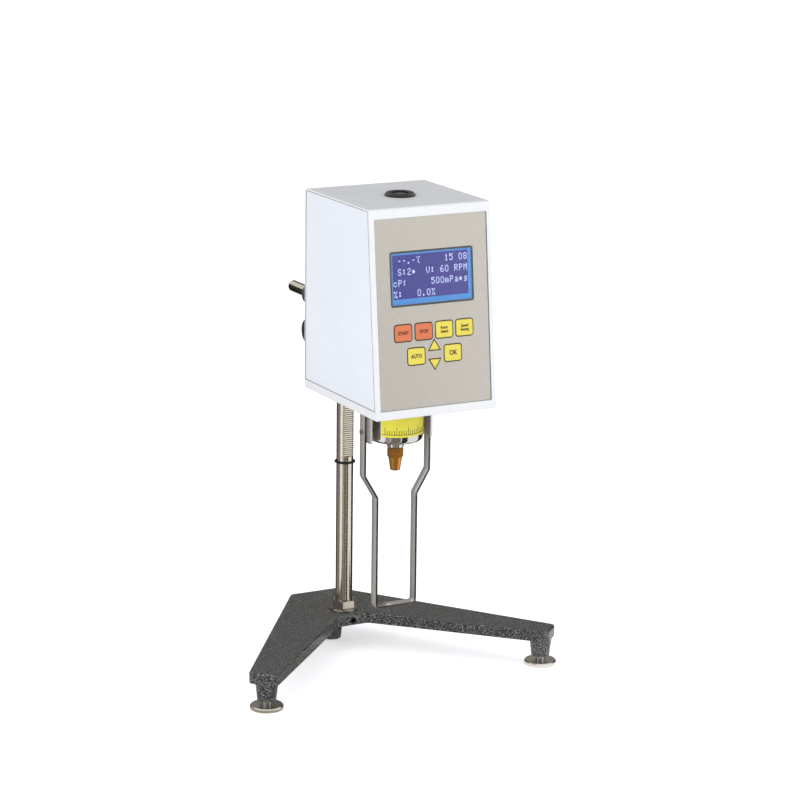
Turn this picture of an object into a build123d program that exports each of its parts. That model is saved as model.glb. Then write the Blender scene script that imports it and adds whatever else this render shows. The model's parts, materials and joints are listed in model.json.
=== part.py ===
from build123d import *
import math
import os

# Rotational viscometer: a measuring head on a rack column above a V-shaped cast base.
# Millimetres, +Z up, front towards -Y. The origin is the middle of the footprint, on the bench.
# Lengths named "forward" or "reach" run from the column axis towards the front.

# Fits
CLOSE_GAP = 0.03          # radial gap of pieces fixed in each other
RUNNING_GAP = 0.05        # radial gap of pieces that turn or slide in each other
FACE_GAP = 0.1            # gap between parts that pass each other face to face
CUT_OVER = 1.0            # how far a cutter stands out of the metal that it cuts

# Base casting
BASE_TOP_Z = 33.5
BASE_THICKNESS = 9.5
BASE_EDGE_ROUND = 1.5
BASE_CORNER_ROUND = 5.0
BASE_REAR = 59.5
BASE_REAR_WIDTH = 47.8
NOTCH_FORWARD = 19.0
NOTCH_WIDTH = 29.4
LEG_ANGLE = 45.0
LEG_TIP_WIDTH = 25.5
LEG_TIP_OVERHANG = 10.0
FOOT_SPREAD = 265.0
FOOT_FORWARD = 121.0
BOSS_TOP_RADIUS = 9.8
BOSS_BOTTOM_RADIUS = 8.0
BOSS_BOTTOM_Z = 8.5
REAR_FOOT_BACK = 25.0
REAR_FOOT_TOP_RADIUS = 11.5
REAR_FOOT_BOTTOM_RADIUS = 8.8

# Levelling feet
FOOT_DISC_RADIUS = 14.1
FOOT_DISC_THICKNESS = 4.0
FOOT_DISC_BEVEL = 0.8
FOOT_DISC_FLOOR = 1.0
STUD_RADIUS = 4.0
STUD_HOLE_COVER = 4.5     # metal left above a stud's hole
STUD_HOLE_SPARE = 5.5     # hole left above the stud at rest

# Column
COLUMN_RADIUS = 7.5
COLUMN_TOP_Z = 396.0
COLUMN_CHAMFER = 1.0
WASHER_RADIUS = 11.8
WASHER_THICKNESS = 1.6
NUT_FLATS = 19.0
NUT_HEIGHT = 8.0
NUT_CHAMFER = 0.8
STOP_RING_Z = 170.0
STOP_RING_SECTION = 0.9
SET_SCREW_RADIUS = 3.0
SET_SCREW_DROP = 5.4      # base top to the set screw
SET_SCREW_SOCKET_FLATS = 3.0
SET_SCREW_SOCKET_DEPTH = 2.5

# Rack and pinion
RACK_MODULE = 0.6
RACK_TIP = 6.5            # column axis to the tips of the rack teeth
RACK_BOTTOM_Z = 176.0
RACK_TOP_MARGIN = 4.0
PINION_TEETH = 18
PINION_WIDTH = 8.0
PINION_SHAFT_RADIUS = 3.0
PINION_JOURNAL_LENGTH = 6.0
PINION_BORE_GAP = 0.3     # tooth tips to the bore that the pinion passes through
PRESSURE_ANGLE = 20.0
ADDENDUM = 0.85           # tooth height above the pitch circle, in modules
DEDENDUM = 1.15
BACKLASH = 0.08
FLANK_STEPS = 4

# Lift clamp
CLAMP_BOTTOM_Z = 276.0
CLAMP_HEIGHT = 60.0
CLAMP_HALF_WIDTH = 15.0
CLAMP_FORWARD = 20.0
CLAMP_BACK = 14.0
CLAMP_EDGE = 1.5
PINION_RISE = 17.0        # clamp underside to pinion axis
KNOB_RADIUS = 11.0
KNOB_THICKNESS = 11.5
KNOB_OUTER_X = -43.5
KNOB_FLUTES = 24
KNOB_FLUTE_RADIUS = 0.9
GRIP_CHAMFER = 0.8
TENSION_RISE = 30.0
TENSION_SCREW_RADIUS = 3.0
TENSION_HEAD_RADIUS = 5.5
TENSION_HEAD_LENGTH = 4.5
SLOT_WIDTH = 1.2
SLOT_DEPTH = 1.2
BARREL_RADIUS = 10.0

# Handle rod
ROD_X = -26.0
ROD_RISE = 44.0           # clamp underside to rod axis
ROD_RADIUS = 5.0
ROD_BACK = 52.0
ROD_END_CHAMFER = 0.8
ROD_FLANGE_RADIUS = 9.0
ROD_FLANGE_THICKNESS = 3.0
ROD_THREAD_RADIUS = 4.0
ROD_NUT_FLATS = 13.0
ROD_NUT_HEIGHT = 5.0
THUMB_SHANK_RADIUS = 3.0
THUMB_HEAD_RADIUS = 8.0
THUMB_HEAD_HEIGHT = 9.0
THUMB_FLUTES = 18
THUMB_CLEARANCE = 1.5

# Measuring head shell
HEAD_WIDTH = 112.0
HEAD_HEIGHT = 172.0
HEAD_BOTTOM_Z = 250.0
HEAD_DEPTH_BOTTOM = 134.0
HEAD_DEPTH_TOP = 117.0
HEAD_GAP = 33.4           # column axis to the back of the head
PLATE_HEIGHT = 7.3
PLATE_EDGE = 0.5
SHEET = 1.5
FRONT_WALL = 2.0
COVER_CORNER = 3.0
SIDE_RECESS = 0.3
SEAM = 0.25
UPSTAND_LUG_GAP = 1.2     # upstand to the lugs of the left side panel
UPSTAND_RIGHT = 18.0      # rod axis to the right edge of the upstand
UPSTAND_THICKNESS = 5.0
UPSTAND_MARGIN = 15.0     # upstand above the rod axis
LUG_WIDTH = 9.0
LUG_DEPTH = 12.0
LUG_HEIGHT = 16.0
LUG_SCREW_SHARE = 0.7     # height of a back screw up its lug
SCREW_RADIUS = 1.5
SCREW_HEAD_RADIUS = 2.7
SCREW_HEAD_HEIGHT = 1.6
SCREW_LENGTH = 8.0

# Front panel, display and keys, placed by their distance down the sloping front
PANEL_MARGIN = 4.7        # side of the head to the panel
PANEL_TOP_BAND = 8.4
PANEL_THICKNESS = 0.6
PANEL_RECESS = 0.2
DISPLAY_SIDE_BAND = 12.6  # side of the panel to the display
DISPLAY_HEIGHT = 45.6
DISPLAY_DOWN = 58.2
DISPLAY_CORNER = 2.2
WINDOW_BORDER = 1.5
LCD_FRAME_SIDE = 4.5
LCD_FRAME_END = 6.5
LCD_FRAME_DEPTH = 7.0
LCD_BOARD_SIDE = 4.8
LCD_BOARD_END = 5.2
BOARD_THICKNESS = 1.6
SPACER_RADIUS = 2.5
SPACER_INSET = 4.0
KEY_SIDE_BAND = 15.2      # side of the panel to the outer keys
KEY_COLUMNS = 4
KEY_GAP = 3.8
KEY_HEIGHT = 13.2
KEY_CORNER = 1.8
LOWER_KEY_GAP = 4.8       # arrow keys to the square keys beside them
ARROW_WIDTH = 9.2
ARROW_HEIGHT = 7.5
ARROW_GAP = 8.1           # between the two arrow keys
ARROW_CLEAR = 1.85        # upper key row to the tip of the up arrow
KEY_PROUD = 0.5
KEY_TRAVEL = 0.5
KEY_HOLE_GAP = 0.25
KEY_FLANGE = 0.7
KEY_FLANGE_THICKNESS = 1.0
KEY_STEM_RADIUS = 1.5
KEY_STEM_LENGTH = 0.6
SWITCH_SIZE = 5.0
SWITCH_HEIGHT = 2.5
KEY_BOARD_GAP = 2.75      # display board to key board
KEY_BOARD_EDGE = 1.95     # key board above the upper keys
KEY_BOARD_FOOT = 6.0      # key board below the lower arrow
KEY_BOARD_SIDE = 8.9      # key board beyond the outer keys

# Bubble level on the top
BUBBLE_FORWARD = 3.0      # spindle axis to bubble centre
BEZEL_RADIUS = 13.0
BEZEL_HEIGHT = 3.0
BEZEL_BEVEL = 1.6
BEZEL_BODY_RADIUS = 9.5
BEZEL_DEPTH = 6.0
BEZEL_FLOOR = 1.0
VIAL_RADIUS = 7.5
VIAL_PROUD = 1.6

# Back of the head
INLET_INSET = 26.0        # right side of the head to the inlet's middle
INLET_RISE = 26.0         # head bottom to inlet centre
INLET_WIDTH = 27.0
INLET_HEIGHT = 20.0
INLET_RIM = 2.0
INLET_RIM_THICKNESS = 2.0
INLET_DEPTH = 18.0
INLET_WALL = 1.8
INLET_CAVITY = 15.0
PIN_RECESS = 4.6
PIN_THICKNESS = 2.0
PIN_HEIGHT = 4.0
PIN_SPACING = 7.0
PIN_OFFSET = 2.0
SWITCH_RISE = 54.0
ROCKER_RADIUS = 8.4
ROCKER_WIDTH = 10.4
ROCKER_PIVOT_DEPTH = 5.0
ROCKER_TILT = 8.0
ROCKER_CENTRE_HEIGHT = 5.4
ROCKER_PIN_RADIUS = 1.2
ROCKER_PIN_LENGTH = 1.2
ROCKER_GAP = 0.3
SWITCH_WALL = 1.6
SWITCH_RIM = 1.4
SWITCH_RIM_THICKNESS = 1.2
SWITCH_DEPTH = 16.0

# Bearing cup and spindle line
SPINDLE_REACH = 95.0      # column axis to spindle axis
CUP_RADIUS = 23.3
CUP_LENGTH = 37.6
CUP_WALL = 2.2
CUP_FLOOR = 2.5
CUP_ROUND = 4.0
SPIGOT_RADIUS = 17.0
SPIGOT_WALL = 2.0
SPIGOT_STICK_UP = 2.0
NECK_RADIUS = 7.2
NECK_LENGTH = 6.7
NECK_LIP = 1.5
BAND_THICKNESS = 0.3
BAND_HALF_ANGLE = 59.0
BAND_TOP_MARGIN = 1.5
BAND_BOTTOM_MARGIN = 7.0
BEARING_RADIUS = 5.0
BEARING_HEIGHT = 4.0
PIVOT_RADIUS = 2.0
CONNECTOR_GAP = 0.5
CONNECTOR_FLATS = 12.0
CONNECTOR_TURN = 30.0      # a flat faces forward
CONNECTOR_HEX_HEIGHT = 8.0
CONNECTOR_CONE_HEIGHT = 11.5
CONNECTOR_CONE_TOP_RADIUS = 6.0
CONNECTOR_TIP_RADIUS = 4.2
CONNECTOR_SOCKET_DEPTH = 7.0
CONNECTOR_CHAMFER = 0.6
SPINDLE_HOLE_RADIUS = 1.5
SPINDLE_HOLE_LENGTH = 8.0

# Drive train inside the head, by height above the head bottom
TORQUE_DISC_RISE = 34.0
DRIVE_DISC_RISE = 46.0
DISC_RADIUS = 20.0
DISC_THICKNESS = 0.8
DISC_SLOTS = 2
DISC_SLOT_WIDTH = 2.0
DISC_SLOT_DEPTH = 5.0
HUB_RADIUS = 6.0
HUB_HEIGHT = 3.0
DRIVE_SHAFT_RADIUS = 4.0
DRIVE_SHAFT_DROP = 4.0    # drive shaft below its disc
PIVOT_ENGAGEMENT = 8.0    # pivot shaft inside the drive shaft
COLLAR_RADIUS = 5.0
COLLAR_HEIGHT = 3.0
GEAR_RISE = 58.0
GEAR_WIDTH = 4.0
GEAR_MODULE = 0.5
DRIVE_GEAR_TEETH = 72
MOTOR_PINION_TEETH = 18
MOTOR_PINION_WIDTH = 6.0
MOTOR_SHAFT_RADIUS = 1.5
MOTOR_SHAFT_LENGTH = 12.0
MOTOR_RADIUS = 15.0
MOTOR_HEIGHT = 24.0
MOTOR_CHAMFER = 1.0
MOTOR_PLATE_RISE = 68.0
MOTOR_PLATE_THICKNESS = 3.0
MOTOR_PLATE_SIDE = 16.0   # side of the head to the motor plate
MOTOR_PLATE_FORWARD = 36.0
MOTOR_PLATE_BACK = 42.0
UPPER_BEARING_RADIUS = 7.0
UPPER_BEARING_HEIGHT = 7.0
POST_RADIUS = 3.0
POST_INSET = 5.0
BOARD_RISE = 102.0
MAIN_BOARD_THICKNESS = 1.6
CHIP_HEIGHT = 3.0
CHIP_COLUMNS = 3
CHIP_ROWS = 2
CHIP_SHARE = 0.5          # of the board that each chip has to itself
SPRING_STRIP = 0.4
SPRING_WIDTH = 1.6
SPRING_PITCH = 2.2
SPRING_HALF_TURNS = 8
COLLET_WALL = 1.2
STUD_PIN_RADIUS = 0.8
SENSOR_BOARD_GAP = 6.0    # discs to the sensor board
SENSOR_BOARD_WIDTH = 18.0
SENSOR_SIZE = 8.0
SENSOR_SLOT = 2.6
SENSOR_OVERLAP = 3.0      # how far a sensor reaches over a disc
SENSOR_CLEARANCE = 1.0    # rim of a disc to the end of a sensor's slot
SUPPLY_SIDE = 16.0        # side of the head to the power supply
SUPPLY_DEPTH = 22.0
SUPPLY_HEIGHT = 22.0
SUPPLY_CORNER = 1.0
SUPPLY_GAP = 1.5          # key board to the power supply

# Guard below the head
GUARD_STRAP = 2.0
GUARD_DEPTH = 9.0
GUARD_TOP_WIDTH = 63.5
GUARD_LOWER_WIDTH = 39.5
GUARD_TOP_GAP = 3.0
GUARD_BEND_TOP = 66.5     # head bottom to the upper bend
GUARD_BEND_BOTTOM = 86.5
GUARD_BOTTOM = 185.0
GUARD_BEND_RADIUS = 3.0
ARM_WIDTH = 16.0
ARM_FORWARD = 3.0         # arm centre ahead of the spindle axis
ARM_DROP = 36.5
ARM_FOOT = 12.0
GUARD_SCREW_DROP = 28.0
GUARD_SCREW_LENGTH = 5.5

# Places worked out from the sizes above
FRONT_FORWARD = HEAD_GAP + HEAD_DEPTH_BOTTOM
COLUMN_Y = (FRONT_FORWARD - BASE_REAR) / 2
SPINDLE_Y = COLUMN_Y - SPINDLE_REACH
HEAD_BACK_Y = COLUMN_Y - HEAD_GAP
HEAD_FRONT_Y = COLUMN_Y - FRONT_FORWARD
HEAD_TOP_Z = HEAD_BOTTOM_Z + HEAD_HEIGHT
PLATE_TOP_Z = HEAD_BOTTOM_Z + PLATE_HEIGHT
UPSTAND_BACK_Y = HEAD_BACK_Y - SHEET - SEAM / 2
UPSTAND_FRONT_Y = UPSTAND_BACK_Y - UPSTAND_THICKNESS
BASE_UNDER_Z = BASE_TOP_Z - BASE_THICKNESS
STUD_HOLE_TOP_Z = BASE_TOP_Z - STUD_HOLE_COVER
STUD_TOP_Z = STUD_HOLE_TOP_Z - STUD_HOLE_SPARE
SET_SCREW_Z = BASE_TOP_Z - SET_SCREW_DROP
FRONT_LEAN = math.degrees(math.atan2(HEAD_DEPTH_BOTTOM - HEAD_DEPTH_TOP, HEAD_HEIGHT))
FRONT_LENGTH = HEAD_HEIGHT / math.cos(math.radians(FRONT_LEAN))
COVER_DOWN = FRONT_LENGTH - PLATE_HEIGHT / math.cos(math.radians(FRONT_LEAN))
LUG_INNER_X = HEAD_WIDTH / 2 - SIDE_RECESS - SHEET - LUG_WIDTH
PANEL_WIDTH = HEAD_WIDTH - 2 * PANEL_MARGIN
DISPLAY_WIDTH = PANEL_WIDTH - 2 * DISPLAY_SIDE_BAND
WINDOW_WIDTH = DISPLAY_WIDTH - 2 * WINDOW_BORDER
WINDOW_HEIGHT = DISPLAY_HEIGHT - 2 * WINDOW_BORDER
LCD_FRAME_WIDTH = WINDOW_WIDTH + 2 * LCD_FRAME_SIDE
LCD_FRAME_HEIGHT = WINDOW_HEIGHT + 2 * LCD_FRAME_END
LCD_BOARD_WIDTH = LCD_FRAME_WIDTH + 2 * LCD_BOARD_SIDE
LCD_BOARD_HEIGHT = LCD_FRAME_HEIGHT + 2 * LCD_BOARD_END
KEY_PITCH = (PANEL_WIDTH - 2 * KEY_SIDE_BAND + KEY_GAP) / KEY_COLUMNS
KEY_WIDTH = KEY_PITCH - KEY_GAP
KEY_BOARD_TOP_DOWN = DISPLAY_DOWN + LCD_BOARD_HEIGHT / 2 + KEY_BOARD_GAP
KEY_ROW_DOWN = KEY_BOARD_TOP_DOWN + KEY_BOARD_EDGE + KEY_HEIGHT / 2
LOWER_KEY_DOWN = KEY_ROW_DOWN + KEY_HEIGHT / 2 + ARROW_CLEAR + ARROW_HEIGHT + ARROW_GAP / 2
LOWER_KEY_OFFSET = (ARROW_WIDTH + KEY_WIDTH) / 2 + LOWER_KEY_GAP
ARROW_UP_DOWN = LOWER_KEY_DOWN - (ARROW_GAP + ARROW_HEIGHT) / 2
ARROW_DOWN_DOWN = LOWER_KEY_DOWN + (ARROW_GAP + ARROW_HEIGHT) / 2
KEY_BOARD_BOTTOM_DOWN = ARROW_DOWN_DOWN + ARROW_HEIGHT / 2 + KEY_BOARD_FOOT
KEY_BOARD_HEIGHT = KEY_BOARD_BOTTOM_DOWN - KEY_BOARD_TOP_DOWN
KEY_BOARD_DOWN = (KEY_BOARD_BOTTOM_DOWN + KEY_BOARD_TOP_DOWN) / 2
KEY_BOARD_WIDTH = KEY_COLUMNS * KEY_PITCH - KEY_GAP + 2 * KEY_BOARD_SIDE
INLET_X = HEAD_WIDTH / 2 - INLET_INSET
MOTOR_PLATE_WIDTH = HEAD_WIDTH - 2 * MOTOR_PLATE_SIDE
SUPPLY_WIDTH = HEAD_WIDTH - 2 * SUPPLY_SIDE
SENSOR_BOARD_X = DISC_RADIUS + SENSOR_BOARD_GAP
RACK_PITCH_LINE = RACK_TIP - ADDENDUM * RACK_MODULE
PINION_PITCH_RADIUS = RACK_MODULE * PINION_TEETH / 2
PINION_TIP_RADIUS = PINION_PITCH_RADIUS + ADDENDUM * RACK_MODULE
PINION_BORE_RADIUS = PINION_TIP_RADIUS + PINION_BORE_GAP
PINION_Y = COLUMN_Y - RACK_PITCH_LINE - PINION_PITCH_RADIUS
PINION_Z = CLAMP_BOTTOM_Z + PINION_RISE
CLAMP_TOP_Z = CLAMP_BOTTOM_Z + CLAMP_HEIGHT
ROD_Z = CLAMP_BOTTOM_Z + ROD_RISE
GEAR_DISTANCE = GEAR_MODULE * (DRIVE_GEAR_TEETH + MOTOR_PINION_TEETH) / 2
MOTOR_Y = SPINDLE_Y + GEAR_DISTANCE
CUP_BOTTOM_Z = HEAD_BOTTOM_Z - CUP_LENGTH
NECK_BOTTOM_Z = CUP_BOTTOM_Z - NECK_LENGTH
CONNECTOR_TOP_Z = NECK_BOTTOM_Z - CONNECTOR_GAP
MOTOR_PLATE_Z = HEAD_BOTTOM_Z + MOTOR_PLATE_RISE
MOTOR_PLATE_TOP_Z = MOTOR_PLATE_Z + MOTOR_PLATE_THICKNESS
BOARD_Z = HEAD_BOTTOM_Z + BOARD_RISE
DRIVE_DISC_Z = HEAD_BOTTOM_Z + DRIVE_DISC_RISE
TORQUE_DISC_Z = HEAD_BOTTOM_Z + TORQUE_DISC_RISE
UPPER_BEARING_Z = MOTOR_PLATE_Z - (UPPER_BEARING_HEIGHT - MOTOR_PLATE_THICKNESS) / 2
UPPER_BEARING_TOP_Z = UPPER_BEARING_Z + UPPER_BEARING_HEIGHT
DRIVE_SHAFT_BOTTOM_Z = DRIVE_DISC_Z - DRIVE_SHAFT_DROP
KEY_WALL_BACK = FRONT_WALL + FACE_GAP
KEY_STEM_END = KEY_WALL_BACK + KEY_FLANGE_THICKNESS + KEY_STEM_LENGTH
SWITCH_FRONT = KEY_STEM_END + KEY_TRAVEL + RUNNING_GAP
KEY_BOARD_FRONT = SWITCH_FRONT + SWITCH_HEIGHT
GUARD_BOTTOM_Z = HEAD_BOTTOM_Z - GUARD_BOTTOM
GUARD_SCREW_Z = HEAD_BOTTOM_Z - GUARD_SCREW_DROP

# The sloping front: local X runs right, local Y up the slope, local Z out of it
LEAN = math.radians(FRONT_LEAN)
FRONT = Plane(
    origin=(0, HEAD_BACK_Y - HEAD_DEPTH_TOP, HEAD_TOP_Z),
    x_dir=(1, 0, 0),
    z_dir=(0, -math.cos(LEAN), math.sin(LEAN)),
)

UP = (Align.CENTER, Align.CENTER, Align.MIN)
DOWN = (Align.CENTER, Align.CENTER, Align.MAX)


def block(x0, x1, y0, y1, z0, z1):
    """Box between two corners."""
    return Pos((x0 + x1) / 2, (y0 + y1) / 2, (z0 + z1) / 2) * Box(x1 - x0, y1 - y0, z1 - z0)


def upright(radius, x, y, z0, z1):
    """Cylinder along Z."""
    return Pos(x, y, z0) * Cylinder(radius, z1 - z0, align=UP)


def along_x(radius, x0, x1, y, z):
    """Cylinder along X."""
    return Pos(x0, y, z) * Rot(0, 90, 0) * Cylinder(radius, x1 - x0, align=UP)


def along_y(radius, y0, y1, x, z):
    """Cylinder along Y."""
    return Pos(x, y0, z) * Rot(-90, 0, 0) * Cylinder(radius, y1 - y0, align=UP)


def hexagon(flats, height):
    """Hexagonal prism standing on the XY plane."""
    return extrude(RegularPolygon(flats / math.sqrt(3), 6), height)


def front_box(width, height, across, down, out, depth, corner=0.0):
    """Box on the sloping front: its outer face lies `out` beyond the front, `depth` thick."""
    outline = RectangleRounded(width, height, corner) if corner else Rectangle(width, height)
    return FRONT * (Pos(across, -down, out - depth) * extrude(outline, depth))


def front_pin(radius, across, down, out, depth):
    """Round pin on the sloping front."""
    return FRONT * (Pos(across, -down, out - depth) * Cylinder(radius, depth, align=UP))


def involute_gear(module, teeth, width, bore=0.0):
    """Spur gear on the XY plane with one tooth centred on +X."""
    pitch_radius = module * teeth / 2
    base_radius = pitch_radius * math.cos(math.radians(PRESSURE_ANGLE))
    tip_radius = pitch_radius + ADDENDUM * module
    root_radius = pitch_radius - DEDENDUM * module
    start_radius = max(base_radius, root_radius)
    half_thickness = (math.pi * module / 2 - BACKLASH) / (2 * pitch_radius)
    pitch_roll = math.tan(math.radians(PRESSURE_ANGLE)) - math.radians(PRESSURE_ANGLE)
    flank = []
    for step in range(FLANK_STEPS + 1):
        radius = start_radius + (tip_radius - start_radius) * step / FLANK_STEPS
        roll = math.acos(base_radius / radius)
        flank.append((radius, half_thickness + pitch_roll - (math.tan(roll) - roll)))
    points = []
    for tooth in range(teeth):
        centre = 2 * math.pi * tooth / teeth
        root = [(root_radius, flank[0][1])] if base_radius > root_radius else []
        sides = [(r, -a) for r, a in root + flank]
        sides += [(r, a) for r, a in reversed(root + flank)]
        points += [(r * math.cos(centre + a), r * math.sin(centre + a)) for r, a in sides]
    gear = extrude(make_face(Polyline(points, close=True)), width)
    if bore:
        gear -= Cylinder(bore, width, align=UP)
    return gear


def fluted(radius, length, flutes, flute_radius):
    """Round grip on the XY plane with small grooves along it."""
    grip = chamfer(Cylinder(radius, length, align=UP).edges().filter_by(GeomType.CIRCLE), GRIP_CHAMFER)
    cutter = Cylinder(flute_radius, length, align=UP)
    return grip - [PolarLocations(radius, flutes).locations[i] * cutter for i in range(flutes)]


def foot_place(side):
    """Axis of a front foot, side -1 left and +1 right."""
    return side * FOOT_SPREAD / 2, COLUMN_Y - FOOT_FORWARD


def base_outline():
    """Plan of the base plate."""
    angle = math.radians(LEG_ANGLE)
    foot_x, foot_y = foot_place(1)
    middle_x = foot_x + LEG_TIP_OVERHANG * math.sin(angle)
    middle_y = foot_y - LEG_TIP_OVERHANG * math.cos(angle)
    across_x = LEG_TIP_WIDTH / 2 * math.cos(angle)
    across_y = LEG_TIP_WIDTH / 2 * math.sin(angle)
    right = [
        (BASE_REAR_WIDTH / 2, COLUMN_Y + BASE_REAR),
        (middle_x + across_x, middle_y + across_y),
        (middle_x - across_x, middle_y - across_y),
        (NOTCH_WIDTH / 2, COLUMN_Y - NOTCH_FORWARD),
    ]
    left = [(-x, y) for x, y in reversed(right)]
    return make_face(Polyline(right + left, close=True))


def base_casting():
    outline = base_outline()
    outline = fillet(outline.vertices(), BASE_CORNER_ROUND)
    plate = Pos(0, 0, BASE_UNDER_Z) * extrude(outline, BASE_THICKNESS)
    plate = fillet(plate.faces().sort_by(Axis.Z)[-1].edges(), BASE_EDGE_ROUND)
    casting = plate
    boss_height = BASE_UNDER_Z - BOSS_BOTTOM_Z
    for side in (-1, 1):
        x, y = foot_place(side)
        boss = Cone(BOSS_BOTTOM_RADIUS, BOSS_TOP_RADIUS, boss_height, align=UP)
        casting += Pos(x, y, BOSS_BOTTOM_Z) * boss
        casting -= upright(STUD_RADIUS + RUNNING_GAP, x, y, BOSS_BOTTOM_Z, STUD_HOLE_TOP_Z)
    rear = Cone(REAR_FOOT_BOTTOM_RADIUS, REAR_FOOT_TOP_RADIUS, BASE_UNDER_Z, align=UP)
    casting += Pos(0, COLUMN_Y + REAR_FOOT_BACK, 0) * rear
    casting -= upright(COLUMN_RADIUS + CLOSE_GAP, 0, COLUMN_Y, BASE_UNDER_Z, BASE_TOP_Z)
    notch_y = COLUMN_Y - NOTCH_FORWARD
    casting -= along_y(SET_SCREW_RADIUS + CLOSE_GAP, notch_y, COLUMN_Y, 0, SET_SCREW_Z)
    return casting


def foot_stud(side):
    x, y = foot_place(side)
    stud = Cylinder(STUD_RADIUS, STUD_TOP_Z - FOOT_DISC_FLOOR, align=UP)
    stud = chamfer(stud.edges().sort_by(Axis.Z)[-1], STUD_RADIUS / 8)
    return Pos(x, y, FOOT_DISC_FLOOR) * stud


def foot_disc(side):
    x, y = foot_place(side)
    disc = Cylinder(FOOT_DISC_RADIUS, FOOT_DISC_THICKNESS, align=UP)
    disc = chamfer(disc.edges().filter_by(GeomType.CIRCLE), FOOT_DISC_BEVEL)
    disc -= upright(STUD_RADIUS + RUNNING_GAP, 0, 0, FOOT_DISC_FLOOR, FOOT_DISC_THICKNESS)
    return Pos(x, y, 0) * disc


def rack_profile():
    """Side view of the metal milled off the column: Y is the distance ahead of the axis, Z is up."""
    pitch = math.pi * RACK_MODULE
    root = RACK_PITCH_LINE - DEDENDUM * RACK_MODULE
    slope = math.tan(math.radians(PRESSURE_ANGLE))
    half_space = pitch / 4 + BACKLASH / 2
    half_tip = half_space + ADDENDUM * RACK_MODULE * slope
    half_root = half_space - DEDENDUM * RACK_MODULE * slope
    first = math.ceil((RACK_BOTTOM_Z - PINION_Z) / pitch)
    last = math.floor((COLUMN_TOP_Z - RACK_TOP_MARGIN - PINION_Z) / pitch)
    start = PINION_Z + (first - 0.5) * pitch
    points = [(COLUMN_RADIUS * 2, start), (RACK_TIP, start)]
    for space in range(first, last + 1):
        z = PINION_Z + space * pitch
        points += [(RACK_TIP, z - half_tip), (root, z - half_root)]
        points += [(root, z + half_root), (RACK_TIP, z + half_tip)]
    points += [(RACK_TIP, COLUMN_TOP_Z + CUT_OVER), (COLUMN_RADIUS * 2, COLUMN_TOP_Z + CUT_OVER)]
    return points


def column():
    rod = upright(COLUMN_RADIUS, 0, COLUMN_Y, BASE_UNDER_Z, COLUMN_TOP_Z)
    rod = chamfer(rod.edges().sort_by(Axis.Z)[-1], COLUMN_CHAMFER)
    outline = make_face(Polyline([(0, COLUMN_Y - y, z) for y, z in rack_profile()], close=True))
    return rod - extrude(outline, COLUMN_RADIUS, dir=(1, 0, 0), both=True)


def column_washer():
    ring = Cylinder(WASHER_RADIUS, WASHER_THICKNESS, align=UP)
    ring = chamfer(ring.edges().sort_by(Axis.Z)[-1], WASHER_THICKNESS / 4)
    ring -= Cylinder(COLUMN_RADIUS + CLOSE_GAP, WASHER_THICKNESS, align=UP)
    return Pos(0, COLUMN_Y, BASE_TOP_Z) * ring


def column_nut():
    nut = hexagon(NUT_FLATS, NUT_HEIGHT)
    corner = NUT_FLATS / math.sqrt(3)
    shaper = chamfer(Cylinder(corner, NUT_HEIGHT, align=UP).edges().filter_by(GeomType.CIRCLE), NUT_CHAMFER)
    nut = (nut & shaper) - Cylinder(COLUMN_RADIUS + CLOSE_GAP, NUT_HEIGHT, align=UP)
    return Pos(0, COLUMN_Y, BASE_TOP_Z + WASHER_THICKNESS) * nut


def stop_ring():
    centre_radius = COLUMN_RADIUS + CLOSE_GAP + STOP_RING_SECTION
    return Pos(0, COLUMN_Y, STOP_RING_Z) * Torus(centre_radius, STOP_RING_SECTION)


def column_set_screw():
    front = COLUMN_Y - NOTCH_FORWARD
    screw = along_y(SET_SCREW_RADIUS, front, COLUMN_Y - COLUMN_RADIUS - CLOSE_GAP, 0, SET_SCREW_Z)
    socket = hexagon(SET_SCREW_SOCKET_FLATS, SET_SCREW_SOCKET_DEPTH)
    return screw - Pos(0, front, SET_SCREW_Z) * Rot(-90, 0, 0) * socket


def clamp_block():
    x0, x1 = -CLAMP_HALF_WIDTH, CLAMP_HALF_WIDTH
    y0, y1 = COLUMN_Y - CLAMP_FORWARD, COLUMN_Y + CLAMP_BACK
    body = block(x0, x1, y0, y1, CLAMP_BOTTOM_Z, CLAMP_TOP_Z)
    body += block(ROD_X, x0 + CLAMP_EDGE, y0, y1, ROD_Z - BARREL_RADIUS, ROD_Z + BARREL_RADIUS)
    body += along_y(BARREL_RADIUS, y0, y1, ROD_X, ROD_Z)
    body = chamfer(body.edges().group_by(Axis.Z)[-1].filter_by(Axis.X), CLAMP_EDGE)
    body -= upright(COLUMN_RADIUS + RUNNING_GAP, 0, COLUMN_Y, CLAMP_BOTTOM_Z, CLAMP_TOP_Z)
    body -= along_y(ROD_RADIUS + RUNNING_GAP, y0, y1, ROD_X, ROD_Z)
    body -= along_x(PINION_BORE_RADIUS, x0, PINION_WIDTH / 2 + FACE_GAP, PINION_Y, PINION_Z)
    journal = PINION_WIDTH / 2 + PINION_JOURNAL_LENGTH
    body -= along_x(PINION_SHAFT_RADIUS + RUNNING_GAP, 0, journal + FACE_GAP, PINION_Y, PINION_Z)
    tension_z = CLAMP_BOTTOM_Z + TENSION_RISE
    body -= along_y(TENSION_SCREW_RADIUS + CLOSE_GAP, COLUMN_Y, y1, 0, tension_z)
    body -= upright(THUMB_SHANK_RADIUS + RUNNING_GAP, ROD_X, thumb_y(), ROD_Z, ROD_Z + BARREL_RADIUS)
    return body


def thumb_y():
    """Y of the handle clamp screw, half way along the rod's barrel."""
    return COLUMN_Y + (CLAMP_BACK - CLAMP_FORWARD) / 2


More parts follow.
